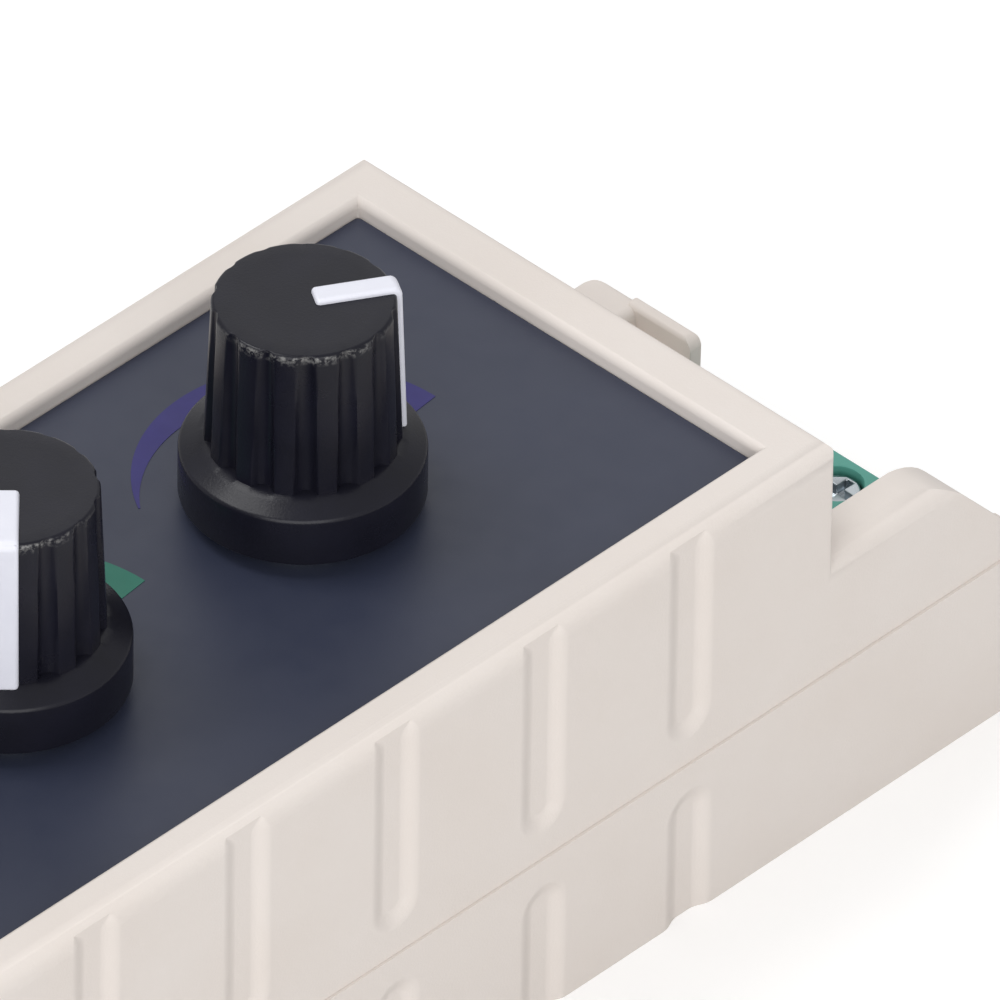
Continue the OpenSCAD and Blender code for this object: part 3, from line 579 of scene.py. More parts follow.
@dataclass(frozen=True)
class SoftFlutes:
    """Gives a case's flutes smooth ramps in place of their upright walls.

    Each ramp keeps to its station along the flute, and it shrinks with the depth
    that is left where a flute runs out at the rounded top edge. Lengths are in
    metres. A face is a wall where its normal's part along Y is below upright.
    """

    depth: float
    reach_out: float
    reach_in: float
    steps: int = 6
    within: float = 0.00001
    upright: float = 0.1

    def walls(self, shape: bmesh.types.BMesh, side: float) -> set[bmesh.types.BMFace]:
        """Finds the upright walls of the flutes.

        Args:
            shape: the case's mesh.
            side: distance of its side faces from the XZ plane.

        Returns:
            The walls' faces.
        """
        inner = side - self.depth - self.within
        return {f for f in shape.faces if abs(f.normal.y) < self.upright
                and min(abs(v.co.y) for v in f.verts) > inner}

    def rims(self, shape: bmesh.types.BMesh,
             walls: set[bmesh.types.BMFace]) -> list[list[bmesh.types.BMVert]]:
        """Walks along the outer edges of the walls.

        Args:
            shape: the case's mesh.
            walls: the flutes' walls.

        Returns:
            The vertices of each flute's rim in order, from one end to the other.
        """
        ways: dict[bmesh.types.BMVert, list[bmesh.types.BMVert]] = {}
        for edge in shape.edges:
            beyond = [f for f in edge.link_faces if f not in walls]
            if (edge.is_convex and len(beyond) == 1
                    and abs(beyond[0].normal.y) >= self.upright):
                one, other = edge.verts
                ways.setdefault(one, []).append(other)
                ways.setdefault(other, []).append(one)
        chains: list[list[bmesh.types.BMVert]] = []
        for start in [v for v, beside in ways.items() if len(beside) == 1]:
            if any(start is chain[-1] for chain in chains):
                continue
            chain = [start, ways[start][0]]
            while len(ways[chain[-1]]) == 2:
                chain.append(next(v for v in ways[chain[-1]] if v is not chain[-2]))
            chains.append(chain)
        return chains

    def ramp(self, shape: bmesh.types.BMesh, vert: bmesh.types.BMVert,
             walls: set[bmesh.types.BMFace], side: float) -> list[bmesh.types.BMVert]:
        """Lays the ramp's points for one station of a rim.

        Args:
            shape: the case's mesh.
            vert: the rim's vertex.
            walls: the flutes' walls.
            side: distance of the side faces from the XZ plane.

        Returns:
            The points from the side face to the flute's floor.
        """
        left = abs(vert.co.y) - side + self.depth
        if left < self.within:
            return [vert] * (self.steps + 1)
        away = -sum((f.normal for f in vert.link_faces if f in walls), Vector()).normalized()
        inwards = Vector((0.0, -math.copysign(1.0, vert.co.y), 0.0))
        reach = self.reach_out * left / self.depth
        width = (self.reach_out + self.reach_in) * left / self.depth
        points = []
        for share in (k / self.steps for k in range(self.steps + 1)):
            sunk = left * share * share * (3.0 - 2.0 * share)
            spot = vert.co + away * (reach - width * share) + inwards * sunk
            points.append(shape.verts.new(spot))
        return points

    def outline(self, face: bmesh.types.BMFace,
                ramps: dict[bmesh.types.BMVert, list[bmesh.types.BMVert]],
                feet: set[bmesh.types.BMVert]) -> list[bmesh.types.BMVert]:
        """Leads the outline of a face beside the flutes around their ramps.

        Args:
            face: a side face, a strip of the rounded edge or the underside.
            ramps: the ramp of each rim vertex.
            feet: the walls' vertices on the floors.

        Returns:
            The new outline.
        """
        verts = list(face.verts)
        points: list[bmesh.types.BMVert] = []
        for before, vert, after in zip(verts[-1:] + verts[:-1], verts, verts[1:] + verts[:1]):
            if vert in ramps and after in feet:
                points += ramps[vert]
            elif vert in ramps and before in feet:
                points += ramps[vert][::-1]
            elif vert not in feet:
                points.append(ramps[vert][0] if vert in ramps else vert)
        return points

    def apply(self, shape: bmesh.types.BMesh, side: float) -> None:
        """Swaps the walls of all flutes for ramps.

        Args:
            shape: the case's mesh.
            side: distance of its side faces from the XZ plane.
        """
        slanted = shape.faces.layers.int.new("ramp")
        breaks = shape.edges.layers.int.new("break")
        walls = self.walls(shape, side)
        chains = self.rims(shape, walls)
        ramps = {v: self.ramp(shape, v, walls, side) for chain in chains for v in chain}
        floors = {f for wall in walls for e in wall.edges for f in e.link_faces
                  if not e.is_convex and f not in walls}
        feet = {v for face in floors for v in face.verts} - set(ramps)
        split = {v for v, points in ramps.items() if points[0] is not v}
        beside = [f for f in shape.faces if f not in walls and f not in floors
                  and any(v in split or v in feet for v in f.verts)]
        outlines = [self.outline(face, ramps, feet) for face in beside]
        bmesh.ops.delete(shape, geom=[*walls, *floors, *beside], context="FACES_ONLY")
        for chain in chains:
            rows = [ramps[v] for v in chain]
            outlines.append([row[-1] for row in rows])
            for row, after in zip(rows, rows[1:]):
                outlines += [[row[k], after[k], after[k + 1], row[k + 1]]
                             for k in range(self.steps)]
        for i, points in enumerate(outlines):
            face = shape.faces.new(list(dict.fromkeys(points)))
            face[slanted] = int(i >= len(beside))
            face.normal_update()
            if i >= len(beside) and face.normal.y * face.verts[0].co.y < 0.0:
                face.normal_flip()
        for chain in chains:
            for end, after in ((chain[0], chain[1]), (chain[-1], chain[-2])):
                if end not in split:
                    shape.edges.get((end, ramps[after][-1]))[breaks] = 1
        bmesh.ops.delete(shape, geom=[e for e in shape.edges if not e.link_faces], context="EDGES")
        bmesh.ops.delete(shape, geom=[v for v in shape.verts if not v.link_edges], context="VERTS")


@dataclass(frozen=True)
class SoftEdges:
    """Small moulded radii, put on a merged copy of a CAD node.

    Lengths are in metres and angles in degrees. A face is broad, and sets the
    normals beside it, where twice its area over its outline is above broad_from.
    """

    radius: float
    steps: int = 2
    sharp_from: float = 32.0
    shortest: float = 0.0
    seam_radius: float = 0.0
    flutes: SoftFlutes | None = None
    broad_from: float = 0.0004
    merge_within: float = MERGE_WITHIN
    flat_within: float = 0.6

    def wanted(self, edge: bmesh.types.BMEdge, side: float) -> float:
        """Radius that an edge gets.

        Args:
            edge: the edge.
            side: distance of the mesh's outer side faces from the XZ plane.

        Returns:
            The radius, or 0 where the edge stays as it is.
        """
        if len(edge.link_faces) != 2 or edge.calc_face_angle(0.0) <= math.radians(self.sharp_from):
            return 0.0
        if edge.calc_length() <= self.shortest:
            return 0.0
        nearest = min(abs(v.co.y) for v in edge.verts)
        if self.flutes and nearest > side - self.flutes.depth - self.merge_within:
            seam = nearest > side - self.merge_within and edge.verts[0].co.z > self.merge_within
            return self.seam_radius if seam else 0.0
        return self.radius

    def copy_of(self, node: str) -> bpy.types.Mesh:
        """Copies a node's mesh, joins its triangles and rounds its sharp edges.

        Args:
            node: the CAD node's name.

        Returns:
            The rounded mesh.
        """
        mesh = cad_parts[node].data.copy()
        shape = bmesh.new()
        shape.from_mesh(mesh)
        bmesh.ops.remove_doubles(shape, verts=shape.verts, dist=self.merge_within)
        bmesh.ops.dissolve_limit(shape, angle_limit=math.radians(self.flat_within),
                                 verts=shape.verts, edges=shape.edges)
        side = max(abs(v.co.y) for v in shape.verts)
        if self.flutes:
            self.flutes.apply(shape, side)
        weights = shape.edges.layers.float.new("bevel_weight_edge")
        for edge in shape.edges:
            edge[weights] = self.wanted(edge, side) / self.radius
        shape.to_mesh(mesh)
        shape.free()
        old_normals = ("custom_normal", "sharp_face")
        for attribute in [a.name for a in mesh.attributes if a.name in old_normals]:
            mesh.attributes.remove(mesh.attributes[attribute])
        mesh.shade_smooth()
        return self.weighted(self.rounded(mesh, node), node)

    def rounded(self, mesh: bpy.types.Mesh, name: str) -> bpy.types.Mesh:
        """Bevels a mesh by its edge weights and marks the edges that stay sharp.

        Args:
            mesh: the mesh with its weights, which is used up.
            name: the result's name.

        Returns:
            The rounded mesh.
        """
        result = settle(mesh, name, "BEVEL", limit_method="WEIGHT", offset_type="OFFSET",
                        width=self.radius, segments=self.steps, use_clamp_overlap=False,
                        loop_slide=True)
        result.set_sharp_from_angle(angle=math.radians(self.sharp_from))
        breaks = result.attributes.get("break")
        for edge in result.edges if breaks else ():
            edge.use_edge_sharp = edge.use_edge_sharp or breaks.data[edge.index].value > 0
        return result

    def weighted(self, mesh: bpy.types.Mesh, name: str) -> bpy.types.Mesh:
        """Lets the broad faces set the normals, so that only the narrow ones shade round.

        Args:
            mesh: the rounded mesh, which is used up.
            name: the result's name.

        Returns:
            The mesh with its own normals.
        """
        rank = mesh.attributes.new(FACE_RANK, "INT", "FACE")
        slanted = mesh.attributes.get("ramp")
        for face in mesh.polygons:
            corners = [mesh.vertices[v].co for v in face.vertices]
            around = sum((a - b).length for a, b in zip(corners, corners[1:] + corners[:1]))
            if 2.0 * face.area > self.broad_from * around:
                rank.data[face.index].value = STRONG
            elif slanted and slanted.data[face.index].value:
                rank.data[face.index].value = WEAK
        return settle(mesh, name, "WEIGHTED_NORMAL", keep_sharp=True, mode="CORNER_ANGLE",
                      use_face_influence=True)


class GeometryTool:
    """A Geometry Nodes tree that turns a host mesh into a finished one."""

    def __init__(self, graph: Graph) -> None:
        """Takes the graph of a finished geometry node group."""
        self.tree = graph.tree

    def run(self, host: bpy.types.Mesh, name: str, values: dict[str, Value]) -> bpy.types.Mesh:
        """Runs the tree on a host mesh.

        Args:
            host: the mesh that the tree starts from, which is used up.
            name: the result's name.
            values: a value for each named input.

        Returns:
            The tree's result as a plain mesh.
        """
        identifiers = {s.name: s.identifier for s in self.tree.interface.items_tree
                       if s.item_type == "SOCKET" and s.in_out == "INPUT"}
        inputs = {identifiers[label]: value for label, value in values.items()}
        return settle(host, name, "NODES", inputs, node_group=self.tree)


def polyline(name: str, points: Sequence[tuple[float, float]]) -> bpy.types.Mesh:
    """A mesh of edges alone through points in the XY plane.

    Args:
        name: the mesh's name.
        points: the points in order.

    Returns:
        The mesh.
    """
    mesh = bpy.data.meshes.new(name)
    edges = [(i, i + 1) for i in range(len(points) - 1)]
    mesh.from_pydata([(x, y, 0.0) for x, y in points], edges, [])
    return mesh


def outward(mesh: bpy.types.Mesh, within: float = 0.000001) -> bpy.types.Mesh:
    """Merges a mesh's doubles and turns all its faces outwards.

    Args:
        mesh: the mesh.
        within: the distance, in metres, within which points are doubles.

    Returns:
        The same mesh.
    """
    shape = bmesh.new()
    shape.from_mesh(mesh)
    bmesh.ops.remove_doubles(shape, verts=shape.verts, dist=within)
    bmesh.ops.recalc_face_normals(shape, faces=shape.faces)
    shape.to_mesh(mesh)
    shape.free()
    return mesh


def build_flute_tree() -> GeometryTool:
    """Builds the tree that turns a profile into a fluted body.

    The host's points are the profile: X is the radius and Y the height. Each
    point goes once round the axis, drawn in where a flute crosses it.

    Returns:
        The tool.
    """
    graph, given, end = group_tree(
        "GeometryNodeTree", "Fluted turning",
        {"Profile": ("NodeSocketGeometry", None), "Steps": ("NodeSocketInt", 336),
         "Flutes": ("NodeSocketInt", 14), "Flute radius": ("NodeSocketFloat", 0.0007),
         "Valley radius": ("NodeSocketFloat", 0.0056), "First flute": ("NodeSocketFloat", 0.0),
         "Foot height": ("NodeSocketFloat", 0.004), "Softness": ("NodeSocketFloat", 0.0001),
         "Finish": ("NodeSocketMaterial", None)},
        {"Body": "NodeSocketGeometry"})
    points = graph.add("GeometryNodeAttributeDomainSize", given["Profile"],
                       component="MESH").outputs[0]
    columns = graph.math("ADD", given["Steps"], 1.0)
    grid = graph.add("GeometryNodeMeshGrid", 1.0, 1.0, columns, points)
    here = graph.add("GeometryNodeInputPosition").outputs[0]
    across = graph.add("ShaderNodeSeparateXYZ", here)
    turn = graph.math("MULTIPLY", graph.math("ADD", across.outputs[0], 0.5), math.tau)
    row = graph.math("ROUND", graph.math("MULTIPLY", graph.math("ADD", across.outputs[1], 0.5),
                                         graph.math("SUBTRACT", points, 1.0)))
    sample = graph.add("GeometryNodeSampleIndex", data_type="FLOAT_VECTOR", domain="POINT")
    graph.fill(sample, {"Geometry": given["Profile"], "Index": row})
    graph.feed(next(s for s in sample.inputs if s.name == "Value" and s.enabled), here)
    found = graph.add("ShaderNodeSeparateXYZ", next(s for s in sample.outputs if s.enabled))
    radius, height = found.outputs[0], found.outputs[1]

    # Angle from the middle of the nearest flute, then the reach of its round wall there
    past_first = graph.math("SUBTRACT", turn, given["First flute"])
    count = graph.math("DIVIDE", graph.math("MULTIPLY", given["Flutes"], past_first), math.tau)
    part = graph.math("SUBTRACT", count, graph.math("ROUND", count))
    off = graph.math("DIVIDE", graph.math("MULTIPLY", math.tau, part), given["Flutes"])
    centre = graph.math("ADD", given["Valley radius"], given["Flute radius"])
    aside = graph.math("MULTIPLY", centre, graph.math("SINE", off))
    room = graph.math("SUBTRACT", graph.math("POWER", given["Flute radius"], 2.0),
                      graph.math("POWER", aside, 2.0))
    wall = graph.math("SUBTRACT", graph.math("MULTIPLY", centre, graph.math("COSINE", off)),
                      graph.math("SQRT", graph.math("MAXIMUM", room, 0.0)))
    crossed = graph.math("MULTIPLY", graph.math("GREATER_THAN", room, 0.0),
                         graph.math("GREATER_THAN", height, given["Foot height"]))
    free = graph.math("ADD", wall, graph.math("SUBTRACT", 1.0, crossed))
    near = graph.math("MINIMUM", graph.math("MULTIPLY", radius, 0.4), given["Softness"])
    cut_back = graph.math("SMOOTH_MIN", radius, free, near)
    real_radius = graph.math("MAXIMUM", graph.math("MINIMUM", cut_back, radius), 0.0)
    place = graph.add("ShaderNodeCombineXYZ",
                      graph.math("MULTIPLY", real_radius, graph.math("COSINE", turn)),
                      graph.math("MULTIPLY", real_radius, graph.math("SINE", turn)), height)
    moved = graph.fill(graph.add("GeometryNodeSetPosition"), {
        "Geometry": grid.outputs["Mesh"], "Position": place.outputs[0]})
    merged = graph.fill(graph.add("GeometryNodeMergeByDistance"), {
        "Geometry": moved.outputs[0], "Distance": MERGE_WITHIN})
    close_tree(graph, merged.outputs[0], given["Finish"], end.inputs["Body"])
    return GeometryTool(graph)


def close_tree(graph: Graph, geometry: bpy.types.NodeSocket, finish: bpy.types.NodeSocket,
               target: bpy.types.NodeSocket) -> None:
    """Ends a geometry tree: instances realised, material set, handed to the output.

    Args:
        graph: the tree's graph.
        geometry: the geometry so far.
        finish: the material.
        target: the group's output.
    """
    real = graph.add("GeometryNodeRealizeInstances", geometry)
    painted = graph.fill(graph.add("GeometryNodeSetMaterial"), {
        "Geometry": real.outputs[0], "Material": finish})
    graph.feed(target, painted.outputs[0])


def build_print_tree() -> GeometryTool:
    """Builds the tree that lays a printed crescent round an axis.

    The crescent lies between two circles, each with its own centre, and runs
    from one angle to another. The host's one point is the axis.

    Returns:
        The tool.
    """
    graph, given, end = group_tree(
        "GeometryNodeTree", "Printed crescent",
        {"Axis": ("NodeSocketGeometry", None), "Steps": ("NodeSocketInt", 96),
         "Outer centre": ("NodeSocketVector", (0, 0, 0)),
         "Outer radius": ("NodeSocketFloat", 0.01),
         "Inner centre": ("NodeSocketVector", (0, 0, 0)),
         "Inner radius": ("NodeSocketFloat", 0.009),
         "Start angle": ("NodeSocketFloat", 0.0), "End angle": ("NodeSocketFloat", 1.0),
         "Thickness": ("NodeSocketFloat", 0.00002), "Finish": ("NodeSocketMaterial", None)},
        {"Print": "NodeSocketGeometry"})
    grid = graph.add("GeometryNodeMeshGrid", 1.0, 1.0, given["Steps"], 2)
    across = graph.add("ShaderNodeSeparateXYZ", graph.add("GeometryNodeInputPosition").outputs[0])
    along = graph.math("ADD", across.outputs[0], 0.5)
    swing = graph.math("SUBTRACT", given["End angle"], given["Start angle"])
    angle = graph.math("ADD", given["Start angle"], graph.math("MULTIPLY", along, swing))
    way = graph.add("ShaderNodeCombineXYZ", graph.math("COSINE", angle),
                    graph.math("SINE", angle), 0.0)

    def reach(centre: bpy.types.NodeSocket, radius: bpy.types.NodeSocket) -> bpy.types.NodeSocket:
        """Distance from the axis to a circle, along the present angle.

        Args:
            centre: the circle's centre.
            radius: its radius.

        Returns:
            The distance.
        """
        near = graph.add("ShaderNodeVectorMath", centre, way.outputs[0], operation="DOT_PRODUCT")
        length = graph.add("ShaderNodeVectorMath", centre, operation="LENGTH")
        aside = graph.math("SUBTRACT", graph.math("POWER", radius, 2.0),
                           graph.math("POWER", length.outputs["Value"], 2.0))
        square = graph.math("ADD", graph.math("POWER", near.outputs["Value"], 2.0), aside)
        return graph.math("ADD", near.outputs["Value"], graph.math("SQRT", square))

    inner = reach(given["Inner centre"], given["Inner radius"])
    outer = reach(given["Outer centre"], given["Outer radius"])
    width = graph.math("SUBTRACT", outer, inner)
    side = graph.math("ADD", across.outputs[1], 0.5)
    radius = graph.math("ADD", inner, graph.math("MULTIPLY", side, width))
    place = graph.add("ShaderNodeVectorMath", way.outputs[0], operation="SCALE")
    graph.feed(place.inputs["Scale"], radius)
    moved = graph.fill(graph.add("GeometryNodeSetPosition"), {
        "Geometry": grid.outputs["Mesh"], "Position": place.outputs[0]})
    raised = graph.fill(graph.add("GeometryNodeExtrudeMesh", mode="FACES"), {
        "Mesh": moved.outputs[0], "Offset Scale": given["Thickness"], "Individual": False})
    both = graph.add("GeometryNodeJoinGeometry")
    graph.tree.links.new(raised.outputs[0], both.inputs[0])
    graph.tree.links.new(moved.outputs[0], both.inputs[0])
    carried = graph.fill(graph.add("GeometryNodeInstanceOnPoints"), {
        "Points": given["Axis"], "Instance": both.outputs[0]})
    close_tree(graph, carried.outputs[0], given["Finish"], end.inputs["Print"])
    return GeometryTool(graph)


@dataclass
class Case:
    """The two moulded shells, with the small radii that their mould gives them."""

    paint: Paintbox
    edge: SoftEdges = field(default_factory=lambda: SoftEdges(
        radius=0.15 * MM, steps=3, shortest=0.9 * MM, seam_radius=0.05 * MM,
        flutes=SoftFlutes(depth=0.45 * MM, reach_out=0.5 * MM, reach_in=1.0 * MM)))

    def build(self) -> None:
        """Rounds and dresses both shells, and dresses the screws that hold them."""
        beige = self.paint.by_slot[Slot.CASE]
        for node, name in (("cover_shell", "case_cover"), ("base_shell", "case_base")):
            add_piece(name, self.edge.copy_of(node), "case", Slot.CASE, beige, [node])
        self.paint.dress_node("case_screws", Slot.STEEL)


@dataclass
class Panel:
    """The printed sheet in the recess, with a crescent beside each knob.

    Lengths are in millimetres and angles in degrees. The first and the last
    crescent stand nearer to the middle than their knobs, by the inset.
    """

    paint: Paintbox
    printer: GeometryTool
    outer_centre: tuple[float, float] = (2.2, 1.3)
    outer_radius: float = 11.12
    inner_centre: tuple[float, float] = (0.67, -0.11)
    inner_radius: float = 10.5
    tail_angle: float = 139.0
    tip_angle: float = 5.7
    inset: float = 0.2
    ink_lift: float = 0.01
    ink_thickness: float = 0.02

    def build(self) -> None:
        """Dresses the sheet and prints the three crescents."""
        self.paint.dress_node("panel_sheet", Slot.PANEL)
        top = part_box("panel_sheet")[1].z
        for channel in Channel:
            centre = middle_of(f"{channel.value}_shaft")
            aside = math.copysign(min(self.inset * MM, abs(centre.x)), centre.x)
            axis = bpy.data.meshes.new("axis")
            axis.from_pydata([(centre.x - aside, centre.y, top + self.ink_lift * MM)], [], [])
            ink = self.paint.inks[channel]
            mesh = self.printer.run(axis, f"{channel.value}_crescent", {
                "Outer centre": (self.outer_centre[0] * MM, self.outer_centre[1] * MM, 0.0),
                "Outer radius": self.outer_radius * MM,
                "Inner centre": (self.inner_centre[0] * MM, self.inner_centre[1] * MM, 0.0),
                "Inner radius": self.inner_radius * MM,
                "Start angle": math.radians(self.tail_angle),
                "End angle": math.radians(self.tip_angle),
                "Thickness": self.ink_thickness * MM,
                "Finish": ink,
            })
            add_piece(f"{channel.value}_crescent", outward(mesh), "case", Slot.PANEL, ink)


@dataclass
class Control:
    """One control: its fluted knob and pointer, and the potentiometer below.

    Lengths are in millimetres and angles in degrees. The drops are shares of
    the round or fillet beside them.
    """

    channel: Channel
    paint: Paintbox
    turner: GeometryTool
    skirt_radius: float = 7.75
    skirt_height: float = 3.4
    skirt_round: float = 0.35
    skirt_drop: float = 0.6
    lip: float = 0.12
    hollow_radius: float = 6.45
    hollow_height: float = 3.2
    bore_radius: float = 3.03
    bore_height: float = 11.6
    foot_radius: float = 6.15
    foot_height: float = 4.2
    foot_fillet: float = 0.25
    fillet_drop: float = 0.3
    foot_step: float = 0.01
    top_radius: float = 5.75
    top_round: float = 0.3
    flutes: int = 14
    flute_radius: float = 0.72
    valley_radius: float = 5.5
    ridge_softness: float = 0.12
    flute_start: float = 0.005
    steps: int = 24
    rows: int = 8
    rings: int = 6
    sharp_from: float = 40.0
    pointer_edge: float = 0.28

    def node(self, part: str) -> str:
        """Name of one of this control's CAD nodes."""
        return f"{self.channel.value}_{part}"

    def heading(self) -> float:
        """Works out where the pointer points.

        Returns:
            The direction, in radians from +X.
        """
        axis = middle_of(self.node("shaft"))
        points = [v.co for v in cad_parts[self.node("pointer")].data.vertices]
        middle = sum(points, Vector()) / len(points)
        return math.atan2(middle.y - axis.y, middle.x - axis.x)

    def arc(self, centre: tuple[float, float], radius: float, start: float, stop: float,
            steps: int = 6) -> list[tuple[float, float]]:
        """Points of a round corner of the profile.

        Args:
            centre: the corner's centre, as radius and height.
            radius: the corner's radius.
            start: the first direction in degrees.
            stop: the last direction in degrees.
            steps: the number of pieces.

        Returns:
            The corner's points in order.
        """
        angles = [math.radians(start + (stop - start) * i / steps) for i in range(steps + 1)]
        return [(centre[0] + radius * math.cos(a), centre[1] + radius * math.sin(a))
                for a in angles]

    def profile(self, height: float) -> list[tuple[float, float]]:
        """Outline of the knob from the top of its bore, down, out and up to its top.

        Args:
            height: the knob's height.

        Returns:
            Radius and height of each point, in metres.
        """
        fall = (self.foot_height - self.skirt_height) / (self.skirt_radius - self.foot_radius)
        lip, edge, fillet = self.lip, self.skirt_round, self.foot_fillet
        outline = [(0.0, self.bore_height), (self.bore_radius, self.bore_height),
                   (self.bore_radius, self.hollow_height), (self.hollow_radius, self.hollow_height),
                   (self.hollow_radius, lip), (self.hollow_radius + lip, 0.0)]
        outline += self.arc((self.skirt_radius - lip, lip), lip, -90, 0, steps=3)
        outline += self.arc((self.skirt_radius - edge, self.skirt_height - self.skirt_drop * edge),
                            edge, 0, 90 - math.degrees(math.atan(fall)))
        outline += [(self.foot_radius + 2 * fillet, self.foot_height - 2 * fillet * fall),
                    (self.foot_radius + fillet, self.foot_height - self.fillet_drop * fillet),
                    (self.foot_radius, self.foot_height + self.foot_step)]
        rise = height - self.top_round - self.foot_height
        lean = self.top_radius - self.foot_radius
        outline += [(self.foot_radius + lean * share, self.foot_height + rise * share)
                    for share in (i / self.rows for i in range(1, self.rows))]
        inner = self.top_radius - self.top_round
        outline += self.arc((inner, height - self.top_round), self.top_round, 0, 90)
        outline += [(inner * (1 - i / self.rings), height) for i in range(1, self.rings + 1)]
        return [(r * MM, z * MM) for r, z in outline]

    def cap(self, finish: bpy.types.Material) -> bpy.types.Mesh:
        """Turns the fluted knob and sets it on its shaft.

        Args:
            finish: the knob's material.

        Returns:
            The knob's mesh.
        """
        low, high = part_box(self.node("knob"))
        height = (high.z - low.z) / MM
        proud = (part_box(self.node("pointer"))[1].z - high.z) / MM
        name = self.channel.value
        log.info("%s knob: %.2f mm high, pointer %.2f mm proud", name, height, proud)
        mesh = self.turner.run(polyline("profile", self.profile(height)), f"{name}_cap", {
            "Steps": self.flutes * self.steps,
            "Flutes": self.flutes,
            "Flute radius": self.flute_radius * MM,
            "Valley radius": self.valley_radius * MM,
            "First flute": 0.0,
            "Foot height": (self.foot_height - self.flute_start) * MM,
            "Softness": self.ridge_softness * MM,
            "Finish": finish,
        })
        axis = middle_of(self.node("shaft"))
        turn = Matrix.Rotation(self.heading(), 4, "Z")
        mesh.transform(Matrix.Translation((axis.x, axis.y, low.z)) @ turn)
        outward(mesh)
        mesh.shade_smooth()
        mesh.set_sharp_from_angle(angle=math.radians(self.sharp_from))
        return mesh

    def build(self) -> None:
        """Turns the knob, rounds the pointer and dresses the rest."""
        name = self.channel.value
        body = f"{name}_control"
        black, white = self.paint.by_slot[Slot.KNOB], self.paint.by_slot[Slot.POINTER]
        add_piece(f"{name}_cap", self.cap(black), body, Slot.KNOB, black, [self.node("knob")])
        soft = SoftEdges(radius=self.pointer_edge * MM, steps=3)
        add_piece(f"{name}_mark", soft.copy_of(self.node("pointer")), body, Slot.POINTER, white,
                  [self.node("pointer")])
        for part, slot in (("shaft", Slot.SHAFT), ("rotor", Slot.ROTOR), ("bushing", Slot.TIN),
                           ("wafer", Slot.PHENOLIC), ("can", Slot.STEEL), ("washer", Slot.STEEL),
                           ("nut", Slot.STEEL), ("pins", Slot.TIN), ("mosfet", Slot.CHIP)):
            self.paint.dress_node(self.node(part), slot)


@dataclass
class Terminal:
    """One screw terminal: housing, clamping screws, wire cages and contact bars."""

    end: End
    paint: Paintbox
    poles: int = 3
    edge: SoftEdges = field(default_factory=lambda: SoftEdges(radius=0.15 * MM))
    screw_edge: SoftEdges = field(default_factory=lambda: SoftEdges(radius=0.1 * MM))

    def build(self) -> None:
        """Rounds and dresses the pieces of the terminal."""
        name = self.end.value
        green = self.paint.by_slot[Slot.TERMINAL]
        housing = f"{name}_terminal"
        add_piece(f"{name}_block", self.edge.copy_of(housing), "case", Slot.TERMINAL, green,
                  [housing])
        self.paint.dress_node(f"{name}_contacts", Slot.TIN)
        steel = self.paint.by_slot[Slot.STEEL]
        for pole in range(1, self.poles + 1):
            node = f"{name}_screw_{pole}"
            body = f"{name}_clamp_screw_{pole}"
            add_piece(f"{name}_clamp_{pole}", self.screw_edge.copy_of(node), body, Slot.STEEL,
                      steel, [node])
            self.paint.dress_node(f"{name}_cage_{pole}", Slot.STEEL)


@dataclass
class Board:
    """The circuit board and what is soldered on it."""

    paint: Paintbox

    def build(self) -> None:
        """Dresses the board's nodes."""
        for node, slot in (("circuit_board", Slot.BOARD), ("controller_chip", Slot.CHIP),
                           ("voltage_regulator", Slot.CHIP), ("supply_capacitor", Slot.SLEEVE),
                           ("chip_resistors", Slot.CHIP)):
            self.paint.dress_node(node, slot)


@dataclass(frozen=True)
class Lamp:
    """A square soft lamp that points at the object; lengths in millimetres."""

    name: str
    spot: tuple[float, float, float]
    side: float
    power: float

    def hang(self) -> None:
        """Puts the lamp in the scene."""
        lamp = bpy.data.lights.new(self.name, "AREA")
        lamp.shape = "SQUARE"
        lamp.size = self.side * MM
        lamp.energy = self.power
        spot = Vector(self.spot) * MM
        turn = spot.to_track_quat("Z", "Y").to_matrix().to_4x4()
        holder = bpy.data.objects.new(self.name, lamp)
        holder.matrix_world = Matrix.Translation(spot) @ turn
        bpy.context.scene.collection.objects.link(holder)


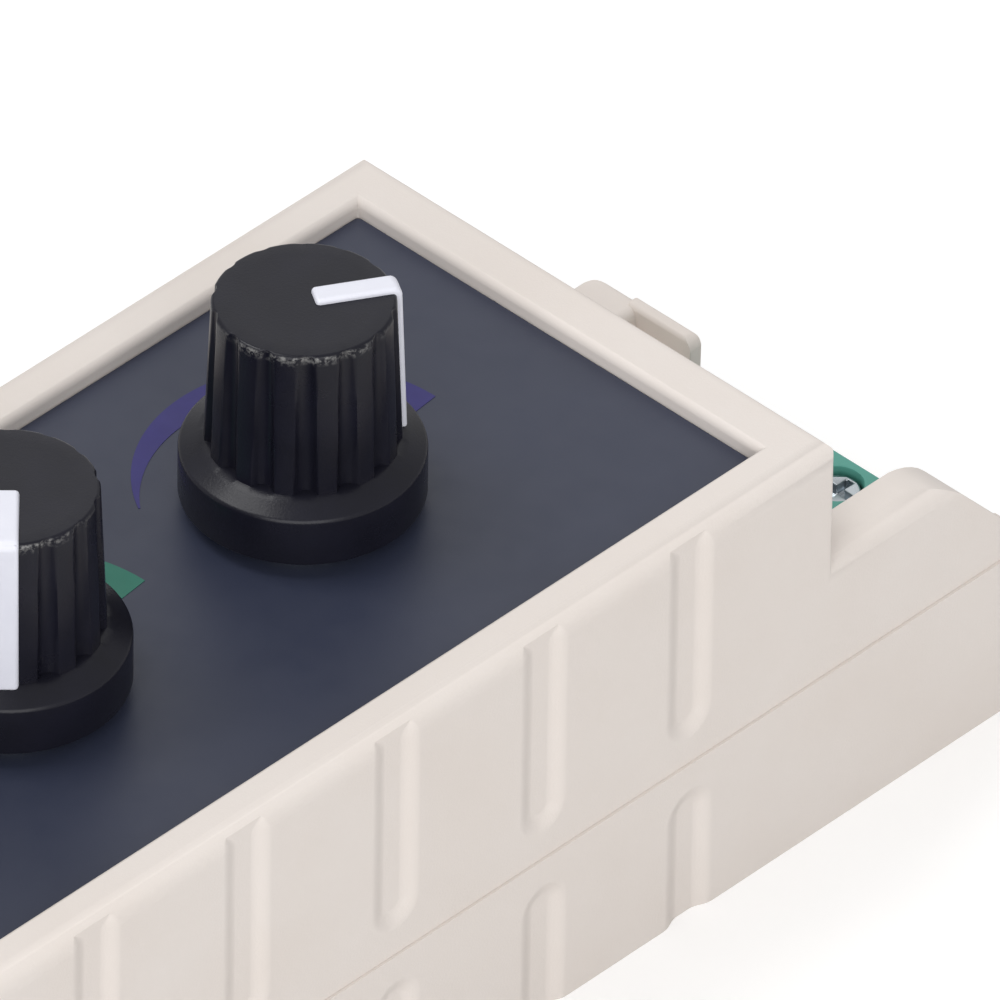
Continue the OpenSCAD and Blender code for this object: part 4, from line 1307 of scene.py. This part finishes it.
@dataclass(frozen=True)
class Studio:
    """Plain pale floor, soft even light, and the camera at the photograph's angle.

    Lengths are in millimetres, and the anchor is the point of the object that
    the picture shows at the anchor pixel. The dome and the floor's tone light
    the object together with the lamps, but the camera sees both of them white,
    and the floor's glow is for the camera alone.
    """

    azimuth: float = -46.253
    elevation: float = 39.125
    roll: float = 0.81
    distance: float = 1551.4
    pixels_per_mm: float = 16.317
    anchor: tuple[float, float, float] = (0.0, 0.0, 29.7)
    anchor_pixel: tuple[float, float] = (6.96, 679.04)
    sensor: float = 36.0
    far: float = 20000.0
    floor_side: float = 4000.0
    dome: float = 0.545
    floor_tone: float = 0.7
    floor_glow: float = 0.13
    lamps: tuple[Lamp, ...] = (
        Lamp("Overhead", (-190.0, 330.0, 850.0), 400.0, 2.4),
        Lamp("Key", (-800.0, -730.0, 560.0), 1200.0, 9.8),
        Lamp("Backdrop", (620.0, 590.0, 690.0), 800.0, 0.9),
    )

    def axes(self) -> tuple[Vector, Vector, Vector]:
        """Works out how the camera is turned.

        Returns:
            The camera's right, up and back directions.
        """
        a, e, r = (math.radians(v) for v in (self.azimuth, self.elevation, self.roll))
        back = Vector((math.sin(a) * math.cos(e), -math.cos(a) * math.cos(e), math.sin(e)))
        right = Vector((math.cos(a), math.sin(a), 0.0))
        up = back.cross(right)
        lean_right = right * math.cos(r) + up * math.sin(r)
        return lean_right, up * math.cos(r) - right * math.sin(r), back

    def place_camera(self) -> None:
        """Puts the camera where the anchor shows at its pixel."""
        right, up, back = self.axes()
        focal = self.pixels_per_mm * self.distance
        middle = PICTURE_SIDE / 2
        aside = (self.anchor_pixel[0] - middle) / self.pixels_per_mm
        above = (middle - self.anchor_pixel[1]) / self.pixels_per_mm
        spot = Vector(self.anchor) + back * self.distance - right * aside - up * above
        lens = bpy.data.cameras.new("Camera")
        lens.sensor_fit = "HORIZONTAL"
        lens.sensor_width = self.sensor
        lens.lens = focal / PICTURE_SIDE * self.sensor
        lens.clip_end = self.far * MM
        turn = Matrix((right, up, back)).transposed().to_4x4()
        camera = bpy.data.objects.new("Camera", lens)
        camera.matrix_world = Matrix.Translation(spot * MM) @ turn
        bpy.context.scene.collection.objects.link(camera)
        bpy.context.scene.camera = camera

    def lay_floor(self) -> None:
        """Lays a pale floor that keeps the object's shadow."""
        half = self.floor_side / 2 * MM
        mesh = bpy.data.meshes.new("floor")
        corners = [(-half, -half, 0), (half, -half, 0), (half, half, 0), (-half, half, 0)]
        mesh.from_pydata(corners, [], [(0, 1, 2, 3)])
        floor = bpy.data.objects.new("floor", mesh)
        bpy.context.scene.collection.objects.link(floor)
        material = bpy.data.materials.new("Pale floor")
        material.use_nodes = True
        graph = Graph(material.node_tree)
        shader = material.node_tree.nodes["Principled BSDF"]
        seen = graph.add("ShaderNodeLightPath").outputs["Is Camera Ray"]
        graph.fill(shader, {
            "Base Color": graph.spread(seen, 0.0, 1.0, self.floor_tone, 1.0),
            "Roughness": 1.0, "Specular IOR Level": 0.0,
            "Emission Color": (1.0, 1.0, 1.0, 1.0),
            "Emission Strength": graph.math("MULTIPLY", seen, self.floor_glow)})
        mesh.materials.append(material)

    def light(self) -> None:
        """Lights the object with a pale dome and soft lamps."""
        world = bpy.data.worlds.new("Dome")
        world.use_nodes = True
        graph = Graph(world.node_tree)
        background = world.node_tree.nodes["Background"]
        rays = graph.add("ShaderNodeLightPath").outputs
        seen = graph.math("MAXIMUM", rays["Is Camera Ray"], rays["Is Transmission Ray"])
        graph.fill(background, {"Color": (1.0, 1.0, 1.0, 1.0),
                                "Strength": graph.spread(seen, 0.0, 1.0, self.dome, 1.0)})
        bpy.context.scene.world = world
        for lamp in self.lamps:
            lamp.hang()

    def build(self) -> None:
        """Sets up the whole studio."""
        bpy.context.scene.view_settings.view_transform = "Standard"
        self.place_camera()
        self.lay_floor()
        self.light()


def main() -> None:
    """Builds every sub-assembly in order, then the studio."""
    logging.basicConfig(level=logging.INFO, format="%(name)s: %(message)s")
    paint = Paintbox()
    turner = build_flute_tree()
    printer = build_print_tree()
    Case(paint).build()
    Panel(paint, printer).build()
    for channel in Channel:
        Control(channel, paint, turner).build()
    for end in End:
        Terminal(end, paint).build()
    Board(paint).build()
    Studio().build()


if __name__ == "__main__":
    main()
